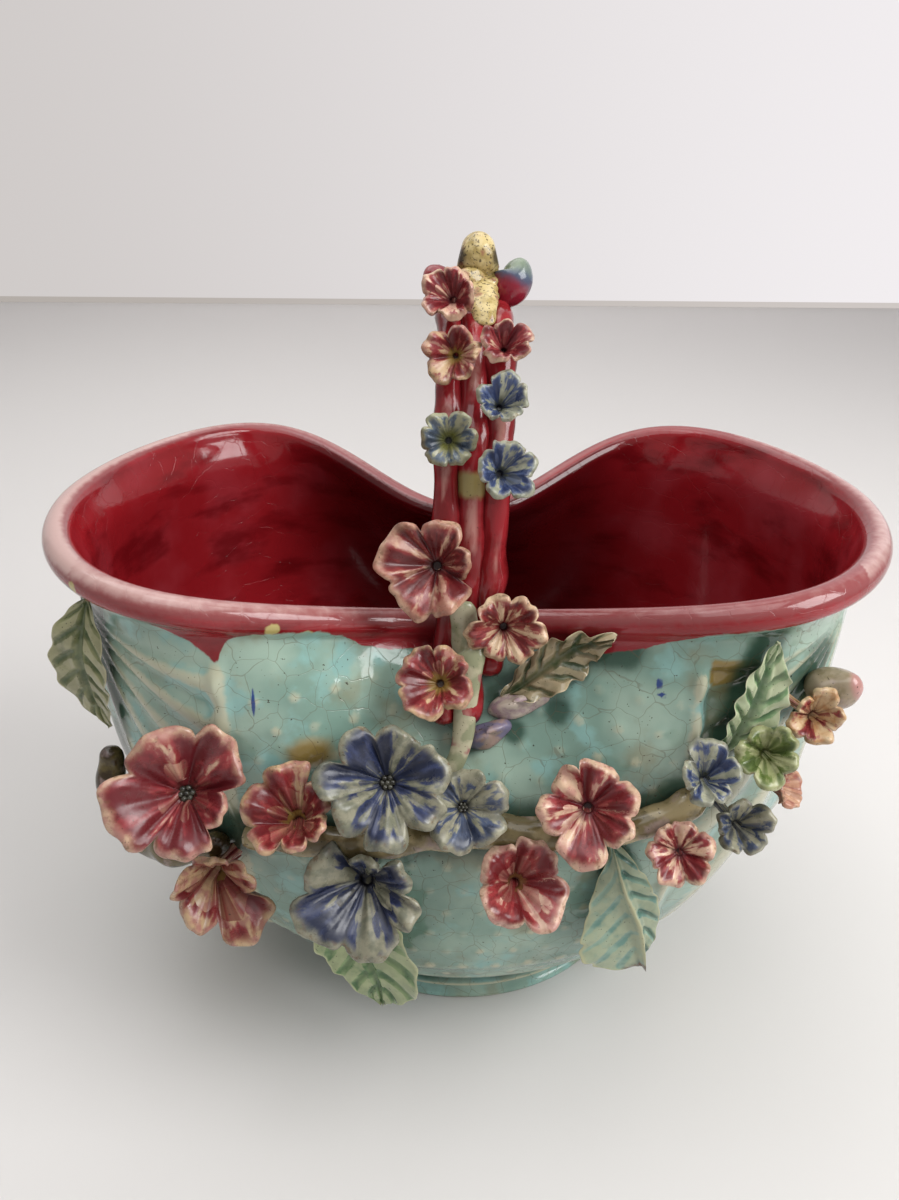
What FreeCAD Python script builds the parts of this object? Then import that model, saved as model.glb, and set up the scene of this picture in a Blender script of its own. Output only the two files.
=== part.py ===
import FreeCAD, Part
import functools
import math
import os

"""Flower-basket jardiniere of glazed earthenware, in millimetres, +Z up.

A boat-shaped bowl with a rolled rim, pinched at the waist, stands on a low oval foot. A
fixed handle of three clay strands goes over it from the front (-Y) to the back and is tied
with a knot at the crown. Branches, leaves and open flowers are modelled apart and luted on.
Every applied piece finds its seat on the surface of the bowl or of the handle, so it
follows when a size changes. The origin is the middle of the foot's underside, on the table.
"""

# ---- foot -------------------------------------------------------------------------------
FOOT_LENGTH = 115.0
FOOT_DEPTH = 107.0
FOOT_HEIGHT = 9.0
FOOT_BEAD = 1.5
FOOT_WALL = 11.0
FOOT_RECESS = 4.0

# ---- bowl -------------------------------------------------------------------------------
RIM_LENGTH = 232.0            # over the middle of the rolled rim
LOBE_DEPTH = 140.0            # front to back over the widest of the two lobes
RIM_HEIGHT = 151.0            # middle of the roll over the lobes
ROLL_DIAMETER = 8.4
ROLL_OVERHANG = 3.0           # how far the roll's middle stands out from the wall below it
WALL = 5.0
FLOOR = 7.0
WAIST_PINCH = 0.65            # share of the depth that the pinch takes at the waist
PINCH_REACH = 0.254 * RIM_LENGTH
PINCH_GROWTH = 2.2            # the pinch fades towards the foot by this power of the rise
WAIST_DIP = 23.0              # how much lower the rim is at the waist
WAIST_DIP_REACH = 0.2025 * RIM_LENGTH
END_DIP = 2.4
CORNER_POWER = 0.08           # how much the rim's plan departs from an ellipse
BELLY_RISE = (0.10, 0.25, 0.45, 0.70)
BELLY_HALF_LENGTH = tuple(share * RIM_LENGTH / 2 for share in (0.698, 0.836, 0.948, 0.974))
BELLY_HALF_DEPTH = tuple(share * LOBE_DEPTH / 2 for share in (0.914, 1.029, 1.043, 1.014))

# ---- handle and knot --------------------------------------------------------------------
CROWN_HEIGHT = 205.0          # middle of the strands at the top of the arch
STRAND_DIAMETER = 7.0
STRAND_GAP = 0.6
STRAND_SEAT_RISE = 0.81       # where on the wall the strands are pressed down
HANDLE_LEAN = 1.5
KNOT_WIDTH = 10.4
KNOT_HEIGHT = 4.2
KNOT_DEPTH = 13.0
EAR_LEFT_DIAMETER = 8.4
EAR_RIGHT_DIAMETER = 9.6
LOOP_DIAMETER = 12.0
LOOP_STRAP = 2.8
LOOP_WIDTH = 7.0
STRAP_WIDTH = 6.0
STRAP_THICKNESS = 2.2

# ---- what is luted on -------------------------------------------------------------------
LUTING = 0.15                 # thickness of the slip between a piece and its seat
BRANCH_DIAMETER = 8.6
STEM_DIAMETER = 5.6
STEM_CLEARANCE = 1.6           # keeps the stem off the strands where they curve down to the wall
LEAF_THICKNESS = 1.7
BUD_HEIGHT = 0.6              # of the width
PETAL_THICKNESS = 1.5
PETAL_NOTCH = 0.3             # how deep the notch between two petals is, as a share of the radius

# ---- how finely the clay is resolved ----------------------------------------------------
TURNS = 48
STRAND_SIDES = 10
STRAND_RINGS = 40
PETAL_POINTS = 4
SEW_TOLERANCE = 0.001

OUTER_RISES = (0.0, 0.03, 0.07, 0.12, 0.18, 0.26, 0.35, 0.45, 0.55, 0.65, 0.75, 0.84, 0.91, 0.96)
ROLL_ANGLES = (-50, -15, 20, 55, 90, 125, 160, 190)
INNER_RISES = (0.94, 0.88, 0.78, 0.66, 0.54, 0.42, 0.30, 0.20, 0.12, 0.06, 0.0)


X_AXIS = FreeCAD.Vector(1, 0, 0)
Y_AXIS = FreeCAD.Vector(0, 1, 0)
Z_AXIS = FreeCAD.Vector(0, 0, 1)


# ---- the bowl's form --------------------------------------------------------------------

def smooth(levels, values, at):
    """A monotone cubic through the values, so that the belly has no waves of its own."""
    slopes = [(values[i + 1] - values[i]) / (levels[i + 1] - levels[i]) for i in range(len(levels) - 1)]

    def tangent(i):
        if i == 0 or i == len(slopes):
            return slopes[min(i, len(slopes) - 1)]
        before, after = slopes[i - 1], slopes[i]
        return 0.0 if before * after <= 0 else 2 * before * after / (before + after)

    i = max(k for k in range(len(slopes)) if levels[k] <= at + 1e-9)
    step = levels[i + 1] - levels[i]
    t = (at - levels[i]) / step
    return ((1 + 2 * t) * (1 - t) ** 2 * values[i] + t * (1 - t) ** 2 * step * tangent(i)
            + t * t * (3 - 2 * t) * values[i + 1] - t * t * (1 - t) * step * tangent(i + 1))


def belly(foot, stations, rim, rise):
    return smooth((0.0,) + BELLY_RISE + (1.0,), (foot,) + stations + (rim,), rise)


def power(value, exponent):
    return math.copysign(abs(value) ** exponent, value)


def plan_share(turn, pinch, exponent):
    """Shares of the half length and of the unpinched half depth at this turn."""
    along = power(math.cos(turn), exponent)
    waist = math.exp(-(along * RIM_LENGTH / 2 / PINCH_REACH) ** 2)
    return along, power(math.sin(turn), exponent) * (1 - pinch * waist)


@functools.lru_cache(maxsize=None)
def lobe_share(pinch, exponent):
    """The largest share of the depth that a ring with this pinch reaches, at its lobes."""
    return max(plan_share(math.radians(degree), pinch, exponent)[1] for degree in range(0, 91, 3))


def ring_point(turn, rise, half_length, half_depth, base, height):
    """A point of the ring at this rise. Its height dips at the waist and at the ends."""
    pinch = WAIST_PINCH * rise ** PINCH_GROWTH
    exponent = 1 + CORNER_POWER * rise
    along, across = plan_share(turn, pinch, exponent)
    dip = WAIST_DIP * math.exp(-(along * RIM_LENGTH / 2 / WAIST_DIP_REACH) ** 2)
    dip += END_DIP * along ** 4
    z = base + (height - base) * rise - dip * rise ** 2
    return FreeCAD.Vector(half_length * along, half_depth * across / lobe_share(pinch, exponent), z)


def outward(ring, turn):
    """The level direction square to a ring."""
    step = 0.002
    way = ring(turn + step) - ring(turn - step)
    normal = FreeCAD.Vector(way.y, -way.x, 0)
    normal.normalize()
    return normal


def outer_ring(rise):
    wall_length = RIM_LENGTH / 2 - ROLL_OVERHANG
    half_length = belly(FOOT_LENGTH / 2, BELLY_HALF_LENGTH, wall_length, rise)
    half_depth = belly(FOOT_DEPTH / 2, BELLY_HALF_DEPTH, LOBE_DEPTH / 2 - 1, rise)
    return lambda turn: ring_point(turn, rise, half_length, half_depth, FOOT_HEIGHT, RIM_HEIGHT)


def inner_ring(rise):
    """The outer ring moved in by the wall, and up by what the floor is thick."""
    outer = outer_ring(rise)
    lift = FreeCAD.Vector(0, 0, FLOOR * (1 - rise))
    return lambda turn: outer(turn) - outward(outer, turn) * WALL + lift


def roll_ring(angle):
    """A ring round the rolled rim: 0 points out, 90 up."""
    def middle(turn):
        return ring_point(turn, 1.0, RIM_LENGTH / 2, LOBE_DEPTH / 2, FOOT_HEIGHT, RIM_HEIGHT)

    out = math.cos(math.radians(angle)) * ROLL_DIAMETER / 2
    up = FreeCAD.Vector(0, 0, math.sin(math.radians(angle)) * ROLL_DIAMETER / 2)
    return lambda turn: middle(turn) + outward(middle, turn) * out + up


def skin_surface(rings):
    """One smooth surface, closed round the bowl, over the rings."""
    turns = [2 * math.pi * (k + 0.5) / TURNS for k in range(TURNS)]
    poles = [[ring(turn) for ring in rings] for turn in turns]
    spans = len(rings) - 3
    surface = Part.BSplineSurface()
    surface.buildFromPolesMultsKnots(
        poles, [1] * (TURNS + 1), [4] + [1] * (spans - 1) + [4],
        [float(k) for k in range(TURNS + 1)], [float(k) for k in range(spans + 1)],
        True, False, 3, 3)
    return surface


BOWL_RINGS = ([outer_ring(rise) for rise in OUTER_RISES] + [roll_ring(angle) for angle in ROLL_ANGLES]
              + [inner_ring(rise) for rise in INNER_RISES])
BOWL_SURFACE = skin_surface(BOWL_RINGS)


def cap(face, height):
    """The flat face inside a skin's level edge."""
    edges = [e for e in face.Edges if e.BoundBox.ZLength < 0.01 and abs(e.BoundBox.ZMin - height) < 0.01]
    return Part.Face(Part.Wire(edges[0]))


def make_bowl():
    """The wall, the rolled rim and the inside are one skin, closed by two flat floors."""
    skin = BOWL_SURFACE.toShape()
    shell = Part.makeShell([skin, cap(skin, FOOT_HEIGHT), cap(skin, FOOT_HEIGHT + FLOOR)])
    shell.sewShape()
    return Part.makeSolid(shell)


def oval(length, depth, height):
    """A level ellipse. Its longer axis may be either one."""
    middle = FreeCAD.Vector(0, 0, height)
    ellipse = Part.Ellipse(middle, max(length, depth) / 2, min(length, depth) / 2)
    if depth > length:
        ellipse.rotate(FreeCAD.Placement(middle, FreeCAD.Rotation(Z_AXIS, 90)))
    return Part.Wire(ellipse.toShape())


def make_foot():
    """A turned oval foot with a bead under the bowl and a recess beneath."""
    sides = [(0.0, -0.8), (0.8, 0.0), (FOOT_HEIGHT - 2.4 * FOOT_BEAD, -FOOT_BEAD),
             (FOOT_HEIGHT - 1.6 * FOOT_BEAD, 0.0), (FOOT_HEIGHT - 0.5 * FOOT_BEAD, 0.0),
             (FOOT_HEIGHT, -0.5 * FOOT_BEAD)]
    wires = [oval(FOOT_LENGTH + 2 * grow, FOOT_DEPTH + 2 * grow, z) for z, grow in sides]
    foot = Part.makeLoft(wires, True, True)
    inner_length = FOOT_LENGTH - 2 * FOOT_WALL
    inner_depth = FOOT_DEPTH - 2 * FOOT_WALL
    recess = Part.Face(oval(inner_length, inner_depth, -1)).extrude(FreeCAD.Vector(0, 0, FOOT_RECESS + 1))
    return foot.cut(recess)


# ---- seats, paths and facets ------------------------------------------------------------

@functools.lru_cache(maxsize=None)
def wall_seat(turn, rise):
    """The outside's point at this turn (270 is the front) and rise, and its outward normal.

    A rise over 1 goes on round the rolled rim, whose outermost line is 1.5.
    """
    ring = outer_ring(rise) if rise <= 1 else roll_ring((rise - 1.5) * 120)
    angle = math.radians(turn)
    u, v = BOWL_SURFACE.parameter(ring(angle))
    normal = BOWL_SURFACE.normal(u, v)
    if normal.dot(outward(ring, angle)) < 0:
        normal = normal * -1
    return BOWL_SURFACE.value(u, v), normal


def unit(vector):
    return vector * (1 / vector.Length)


def steps(count):
    return [k / (count - 1) for k in range(count)]


def path_frames(points, normals, shares):
    """The point, the way on and the normal at these shares of a smooth path."""
    line = Part.BSplineCurve()
    line.interpolate(points)
    end = line.LastParameter
    levels = [line.parameter(point) / end for point in points]
    frames = []
    for share in shares:
        way = unit(line.tangent(share * end)[0])
        normal = FreeCAD.Vector(*[smooth(levels, [n[axis] for n in normals], share) for axis in range(3)])
        frames.append((line.value(share * end), way, unit(normal - way * normal.dot(way))))
    return frames


def wall_path(stations, count):
    """Frames along a path whose stations are a turn, a rise and a lift off the wall."""
    seats = [wall_seat(turn, rise) for turn, rise, lift in stations]
    points = [point + normal * station[2] for (point, normal), station in zip(seats, stations)]
    return path_frames(points, [normal for point, normal in seats], steps(count))


def facet_solid(rings):
    """A closed solid of flat facets through rings of as many points each, with flat ends."""
    count = len(rings[0])
    points = [point for ring in rings for point in ring]
    last = (len(rings) - 1) * count
    facets = []
    for start in range(0, last, count):
        for k in range(count):
            a = start + k
            b = start + (k + 1) % count
            facets += [(a, b, b + count), (a, b + count, a + count)]
    for start, turned in ((0, True), (last, False)):
        middle = sum((points[start + k] for k in range(1, count)), points[start]) * (1 / count)
        points.append(middle)
        for k in range(count):
            edge = (start + k, start + (k + 1) % count)
            facets.append((len(points) - 1,) + (edge[::-1] if turned else edge))
    mesh = Part.Shape()
    mesh.makeShapeFromMesh((points, facets), SEW_TOLERANCE)
    solid = Part.makeSolid(Part.makeShell(mesh.Faces))
    if solid.Volume < 0:
        solid.reverse()
    return solid


# ---- rods: strands, branches, stems -----------------------------------------------------

def rod_rings(frames, diameters, sides=STRAND_SIDES, flat=None):
    """Rings of a hand-rolled rod. Its underside is pressed flat `flat` below its middle."""
    rings = []
    for share, (point, way, normal) in zip(steps(len(frames)), frames):
        radius = smooth((0.0, 0.5, 1.0), diameters, share) / 2
        side = normal.cross(way)
        ring = []
        for k in range(sides):
            angle = 2 * math.pi * (k + 0.5) / sides
            up = radius * math.sin(angle)
            if flat is not None:
                up = max(up, -flat)
            ring.append(point + side * (radius * math.cos(angle)) + normal * up)
        rings.append(ring)
    return rings


def end_dome(frame, diameter, sides=STRAND_SIDES):
    """Two last rings that round a rod's free end."""
    point, way, normal = frame
    side = normal.cross(way)
    rings = []
    for share, out in ((0.8, 0.45), (0.4, 0.75)):
        radius = diameter / 2 * share
        middle = point + way * (diameter / 2 * out)
        angles = [2 * math.pi * (k + 0.5) / sides for k in range(sides)]
        rings.append([middle + side * (radius * math.cos(a)) + normal * (radius * math.sin(a))
                      for a in angles])
    return rings


def make_branch(stations, diameters, count, free_end=False):
    """A branch laid on the wall. Its stations' lift is that of its middle."""
    frames = wall_path(stations, count)
    flat = stations[0][2] - LUTING
    rings = rod_rings(frames, diameters, flat=flat)
    if free_end:
        rings += end_dome(frames[-1], diameters[2])
    return facet_solid(rings)


def turn_at(across, rise, back=False):
    """The turn at which the wall passes this far right of the middle, in front or behind."""
    half_length = belly(FOOT_LENGTH / 2, BELLY_HALF_LENGTH, RIM_LENGTH / 2 - ROLL_OVERHANG, rise)
    cosine = power(across / half_length, 1 / (1 + CORNER_POWER * rise))
    angle = math.degrees(math.asin(cosine))
    return 90 - angle if back else 270 + angle


@functools.lru_cache(maxsize=None)
def strand_route(across):
    """Points and normals of one strand, up the front, over the crown and down behind."""
    lift = STRAND_DIAMETER / 2 + LUTING
    legs = []
    for back in (False, True):
        leg = []
        for rise in (STRAND_SEAT_RISE, (STRAND_SEAT_RISE + 1) / 2):
            point, normal = wall_seat(turn_at(across, rise, back), rise)
            leg.append((point + normal * lift, normal))
        turn = math.radians(turn_at(across, 1.0, back))
        roll = roll_ring(0)
        normal = outward(roll, turn)
        leg.append((roll(turn) + normal * lift, normal))
        legs.append(leg)
    foot = legs[0][2][0]
    arch = []
    for degree in (30, 60, 90, 120, 150):
        along, up = math.cos(math.radians(degree)), math.sin(math.radians(degree))
        height = foot.z + (CROWN_HEIGHT - foot.z) * up
        point = FreeCAD.Vector(across + HANDLE_LEAN * up, foot.y * along, height)
        arch.append((point, FreeCAD.Vector(0, -along, up)))
    return legs[0] + arch + legs[1][::-1]


def route_frames(route, shares):
    return path_frames([point for point, normal in route], [normal for point, normal in route], shares)


def make_strand(place):
    """One of the three strands: -1 left, 0 middle, 1 right."""
    route = strand_route(place * (STRAND_DIAMETER + STRAND_GAP))
    frames = route_frames(route, steps(STRAND_RINGS))
    ends = 0.85 * STRAND_DIAMETER
    return facet_solid(rod_rings(frames, (ends, STRAND_DIAMETER, ends)))


def handle_seat(share, across):
    """A point on top of the handle's strands, and the normal there."""
    point, way, normal = route_frames(strand_route(0.0), [share])[0]
    return point + normal * (STRAND_DIAMETER / 2) + FreeCAD.Vector(across, 0, 0), normal


def make_stem():
    """The pale stem that lies on the strands' front and runs on down the wall."""
    lift = STEM_DIAMETER / 2
    route = []
    for share, across in ((0.15, -1.0), (0.10, 0.5), (0.06, 1.0)):
        point, normal = handle_seat(share, across)
        route.append((point + normal * (lift + STEM_CLEARANCE), normal))
    for turn, rise, clearance in ((268.0, 0.73, 1.9), (265.5, 0.695, LUTING), (263.0, 0.655, LUTING)):
        point, normal = wall_seat(turn, rise)
        route.append((point + normal * (lift + clearance), normal))
    frames = route_frames(route, steps(14))
    return facet_solid(rod_rings(frames, (0.8 * STEM_DIAMETER, STEM_DIAMETER, 0.8 * STEM_DIAMETER)))


# ---- the knot ---------------------------------------------------------------------------

def crown_seat():
    point, normal = handle_seat(0.5, 0.0)
    return FreeCAD.Vector(point.x, 0, CROWN_HEIGHT + STRAND_DIAMETER / 2)


def swell(stations, sides=12):
    """A lump through rings about a path. A station is a middle, an axis pair and two radii."""
    rings = []
    for middle, across, up, wide, high in stations:
        angles = [2 * math.pi * (k + 0.5) / sides for k in range(sides)]
        rings.append([middle + across * (wide * math.cos(a)) + up * (high * math.sin(a)) for a in angles])
    return facet_solid(rings)


# The outline of a flat strip of clay with soft edges, in shares of its half width and thickness.
STRIP_OUTLINE = ((-1, -0.6), (-0.5, -1), (0.5, -1), (1, -0.6), (1, 0.6), (0.5, 1), (-0.5, 1), (-1, 0.6))


def strip_ring(centre, side, out, width, thickness):
    return [centre + side * (across * width / 2) + out * (deep * thickness / 2)
            for across, deep in STRIP_OUTLINE]


def make_knot_core():
    """The pressed middle of the knot, flat on the strands."""
    base = crown_seat() + Z_AXIS * LUTING
    sizes = ((0.0, 0.92), (0.35, 1.0), (0.8, 0.9), (1.0, 0.7))
    return swell([(base + Z_AXIS * (KNOT_HEIGHT * up), X_AXIS, Y_AXIS, KNOT_WIDTH / 2 * share,
                   KNOT_DEPTH / 2 * share) for up, share in sizes])


def make_ear(way, diameter):
    """A strand's folded end beside the knot, on the left (-1) or the right (1)."""
    start = crown_seat() + X_AXIS * (way * (KNOT_WIDTH / 2 + LUTING))
    middle_height = LUTING + diameter / 2
    sizes = ((0.0, 0.45), (0.2, 0.78), (0.5, 1.0), (0.8, 0.8), (0.97, 0.35))
    length = diameter
    return swell([(start + X_AXIS * (way * length * out) + Z_AXIS * middle_height, Y_AXIS, Z_AXIS,
                   diameter / 2 * share, diameter / 2 * share) for out, share in sizes])


def make_knot_loop():
    """The loop that stands on the knot. Its opening shows from both sides."""
    outer = LOOP_DIAMETER / 2
    middle = crown_seat() + Z_AXIS * (LUTING * 2 + KNOT_HEIGHT + outer)
    rings = []
    for k in range(17):
        angle = math.radians(-90 + 8 + k * (360 - 16) / 16)
        way = Y_AXIS * math.cos(angle) + Z_AXIS * math.sin(angle)
        centre = middle + way * (outer - LOOP_STRAP / 2)
        rings.append(strip_ring(centre, X_AXIS, way, LOOP_WIDTH, LOOP_STRAP))
    return facet_solid(rings)


def make_knot_strap():
    """The strap that hangs from the knot over the front of the strands."""
    lift = STRAND_DIAMETER / 2 + STRAP_THICKNESS / 2 + LUTING
    places = (0.476, 0.465, 0.452, 0.44, 0.43)
    frames = route_frames(strand_route(0.0), places)
    rings = []
    for (point, way, normal), share in zip(frames, (0.8, 1.0, 1.1, 0.8, 0.4)):
        centre = point + normal * lift + X_AXIS * 0.6
        rings.append(strip_ring(centre, X_AXIS, normal, STRAP_WIDTH * share, STRAP_THICKNESS))
    return facet_solid(rings)


# ---- leaves, buds -----------------------------------------------------------------------

def leaf_share(share):
    """The share of its width that a leaf has this far from the stalk."""
    return max(0.1, abs(math.sin(math.pi * share ** 0.85)) ** 0.8)


def make_leaf(stations, width, fold, twist, count=9):
    """A leaf with its edges raised by the fold. Its stations' lift is that of its back."""
    rings = []
    turned, level = math.sin(math.radians(twist)), math.cos(math.radians(twist))
    for share, (point, way, flat_normal) in zip(steps(count), wall_path(stations, count)):
        half = width / 2 * leaf_share(share)
        flat_side = way.cross(flat_normal)
        side = flat_side * level + flat_normal * turned
        normal = flat_normal * level - flat_side * turned
        thick = LEAF_THICKNESS * (0.5 + 0.5 * math.sin(math.pi * share))
        top = [point + side * (half * j) + normal * (thick * (1 - 0.5 * abs(j)) + fold * half * abs(j))
               for j in (-1, -0.5, 0, 0.5, 1)]
        back = [point + side * (half * j) + normal * (fold * half * abs(j)) for j in (0.6, 0, -0.6)]
        rings.append(top + back)
    return facet_solid(rings)


def make_bud(turn, rise, lift, length, width, lean):
    """A bud pressed on the wall, its long way turned by the lean from upright."""
    point, normal = wall_seat(turn, rise)
    side = unit(Z_AXIS.cross(normal))
    up = normal.cross(side)
    way = up * math.cos(math.radians(lean)) + side * math.sin(math.radians(lean))
    across = way.cross(normal)
    middle = point + normal * (lift + LUTING)
    sizes = ((0.0, 0.7), (0.3, 1.0), (0.7, 0.8), (1.0, 0.3))
    return swell([(middle + normal * (BUD_HEIGHT * width * high), across, way, width / 2 * share,
                   length / 2 * share) for high, share in sizes], sides=10)


# ---- flowers ----------------------------------------------------------------------------

def tilted(normal, sideways, upward):
    """The normal turned to the right and upward by these angles, with its own two axes."""
    side = unit(Z_AXIS.cross(normal))
    up = normal.cross(side)
    axis = unit(normal + side * math.tan(math.radians(sideways)) + up * math.tan(math.radians(upward)))
    side = unit(Z_AXIS.cross(axis))
    return axis, side, axis.cross(side)


def throat_depth(diameter, stand):
    return min(0.17 * diameter, 0.4 * stand)


def make_flower(seat, diameter, stand, petals=5, cup=0.25, sideways=0, upward=0, spin=0):
    """A trumpet flower: a tube from its seat, and a limb of notched petals round its throat."""
    point, normal = seat
    radius = diameter / 2
    edge = PETAL_THICKNESS
    axis, side, up = tilted(normal, sideways, upward)
    base_side = unit(Z_AXIS.cross(normal))
    base_up = normal.cross(base_side)
    middle = point + normal * (stand + LUTING)
    corners = petals * PETAL_POINTS

    def ring(share, height, lobed):
        points = []
        for k in range(corners):
            angle = 2 * math.pi * k / corners + math.radians(spin)
            gap = abs(math.cos(math.pi * k / PETAL_POINTS)) ** 4
            reach = radius * share * (1 - PETAL_NOTCH * lobed * gap)
            rise = height - 0.1 * radius * lobed * gap
            points.append(middle + side * (reach * math.cos(angle)) + up * (reach * math.sin(angle))
                          + axis * rise)
        return points

    base = []
    for k in range(corners):
        angle = 2 * math.pi * k / corners + math.radians(spin)
        reach = 0.17 * radius
        base.append(point + normal * LUTING + base_side * (reach * math.cos(angle))
                    + base_up * (reach * math.sin(angle)))
    rise = cup * radius
    rings = [base,
             ring(0.17, -0.45 * stand, 0),
             ring(0.42, 0.1 * rise - edge, 0.2),
             ring(0.97, 0.9 * rise - 0.6 * edge, 1),
             ring(1.0, rise, 1),
             ring(0.55, 0.3 * rise, 0.5),
             ring(0.2, 0, 0),
             ring(0.1, -throat_depth(diameter, stand), 0)]
    return facet_solid(rings)


def make_button(seat, diameter, stand, sideways=0, upward=0, **rest):
    """The dotted button in a flower's throat."""
    point, normal = seat
    axis, side, up = tilted(normal, sideways, upward)
    radius = diameter / 2
    floor = point + normal * (stand + LUTING) - axis * throat_depth(diameter, stand)
    sizes = ((0.0, 0.09), (0.5, 0.1), (0.9, 0.07), (1.0, 0.035))
    height = 0.16 * radius
    return swell([(floor + axis * (height * high), side, up, radius * share, radius * share)
                  for high, share in sizes], sides=10)


# ---- what goes where --------------------------------------------------------------------

# Branches, by the turn, the rise and the lift of their middle off the wall.
BRANCHES = {
    "branch_front": ([(238, 0.53, 3.2), (255, 0.565, 3.2), (272, 0.59, 3.2), (288, 0.59, 3.2),
                      (302, 0.575, 3.2)], (0.9, 1.0, 0.95), 20),
    "branch_left": ([(207, 0.56, 3.4), (207.5, 0.49, 7.5), (212, 0.435, 9.5), (220, 0.42, 8.5),
                     (228, 0.455, 6.0), (235, 0.50, 3.6)], (0.85, 1.0, 0.9), 18),
    "branch_right_stub": ([(319, 0.79, 4.4), (321, 0.82, 6.5), (322.5, 0.845, 9.0)],
                          (1.0, 1.1, 1.2), 6),
}

# Leaves: stations from the stalk to the tip, the width, how far the edges stand up from the
# midrib, and how far the leaf is twisted about it.
LEAVES = {
    "leaf_left": ([(213, 0.955, 0.8), (212.5, 0.86, 4.6), (211.5, 0.75, 4.5), (211.5, 0.65, 3.0)],
                  16.5, 0.2, 30),
    "leaf_lower_left": ([(249, 0.44, 0.3), (252.5, 0.31, 2.5), (254, 0.18, 7.0), (250.5, 0.07, 11.5)],
                        29.0, 0.12, 0),
    "leaf_handle": ([(276.5, 0.85, 0.3), (282, 0.92, 1.2), (287, 1.1, 1.5), (291.5, 1.45, 3.0)],
                    14.0, 0.25, 0),
    "leaf_right": ([(305, 0.72, 0.3), (308, 0.81, 0.6), (309.5, 0.90, 1.2), (310.5, 0.97, 2.0)],
                   14.0, 0.3, 0),
    "leaf_lower_right": ([(289, 0.53, 0.3), (291.5, 0.40, 3.0), (295.5, 0.25, 7.5), (299.5, 0.13, 11.0)],
                         23.0, 0.15, 0),
}

# Buds: turn, rise, lift, length, width and lean.
BUDS = {
    "bud_handle": (274.5, 0.775, 0.0, 14.0, 6.5, 50),
    "sheath_handle": (280.5, 0.84, 0.0, 16.0, 6.5, 70),
    "bud_right": (322, 0.745, 0.0, 11.0, 9.0, 0),
}

# Flowers luted to the wall, or to a branch on it: the seat's turn, rise and lift, and the form.
BRANCH_MIDDLE = 3.2
ON_BRANCH = BRANCH_MIDDLE + BRANCH_DIAMETER / 2
WALL_FLOWERS = {
    "flower_wall_01": (234, 0.675, 0,
                       dict(diameter=33.5, stand=12, cup=0.22, sideways=38, upward=42, spin=18)),
    "flower_wall_02": (247, 0.645, 0,
                       dict(diameter=25, stand=10, cup=0.35, sideways=-4, upward=45, spin=50)),
    "flower_wall_03": (235, 0.445, 0,
                       dict(diameter=24, stand=11, cup=0.5, sideways=45, upward=15)),
    "flower_wall_04": (258, 0.715, 0,
                       dict(diameter=30, stand=10, cup=0.2, sideways=-6, upward=20, spin=10)),
    "flower_wall_05": (269.5, 0.66, 0,
                       dict(diameter=21.5, stand=8, cup=0.2, upward=17)),
    "flower_wall_06": (256, 0.505, 0,
                       dict(diameter=28.5, stand=10, cup=0.35, upward=25, spin=30)),
    "flower_wall_07": (277.5, 0.525, 0,
                       dict(diameter=22, stand=11.5, petals=4, cup=0.25, sideways=10, upward=35, spin=40)),
    "flower_wall_08": (287, 0.665, 0,
                       dict(diameter=24.5, stand=8, cup=0.2, sideways=-3, upward=28, spin=15)),
    "flower_wall_09": (298, 0.575, ON_BRANCH,
                       dict(diameter=16, stand=4, cup=0.25, sideways=-27, upward=42)),
    "flower_wall_10": (301.5, 0.715, 0,
                       dict(diameter=15.5, stand=8, cup=0.4, sideways=-10, upward=46)),
    "flower_wall_11": (307, 0.585, 0,
                       dict(diameter=14.5, stand=9, cup=0.4, sideways=-28, upward=44, spin=20)),
    "flower_wall_12": (309, 0.75, 0,
                       dict(diameter=14.5, stand=9, cup=0.4, sideways=-35, upward=42)),
    "flower_wall_13": (316, 0.80, 0,
                       dict(diameter=13, stand=9, cup=0.45, sideways=-45, upward=42, spin=10)),
    "flower_wall_14": (312.5, 0.655, 0,
                       dict(diameter=12, stand=8, cup=0.7, sideways=25, upward=30)),
}

# Flowers luted to the handle: how far along it, how far right of its middle, and the form.
HANDLE_FLOWERS = {
    "flower_handle_1": (0.445, -6.0, dict(diameter=14, stand=5, cup=0.3, sideways=-9, upward=-48)),
    "flower_handle_2": (0.38, -5.0, dict(diameter=14.5, stand=5, cup=0.35, sideways=-7, upward=-32)),
    "flower_handle_3": (0.39, 7.3, dict(diameter=12.5, stand=5, cup=0.45, sideways=8, upward=-10)),
    "flower_handle_4": (0.335, 6.0, dict(diameter=15, stand=5, cup=0.35, spin=25)),
    "flower_handle_5": (0.302, -6.0, dict(diameter=15.5, stand=5, cup=0.25, upward=-7, spin=10)),
    "flower_handle_6": (0.274, 7.0, dict(diameter=16, stand=5, cup=0.4, sideways=11, upward=4)),
    "flower_handle_7": (0.19, -8.4, dict(diameter=24, stand=6, cup=0.2, sideways=-5, upward=18, spin=30)),
    "flower_handle_8": (0.122, 9.0, dict(diameter=21, stand=7, cup=0.2, upward=7)),
    "flower_handle_9": (0.04, -7.0, dict(diameter=20.5, stand=6, petals=4, cup=0.3, sideways=-5, spin=45)),
}
DOTTED_FLOWERS = ("flower_wall_01", "flower_wall_04", "flower_wall_05")


def scaled(shares, diameter):
    return tuple(share * diameter for share in shares)


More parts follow.
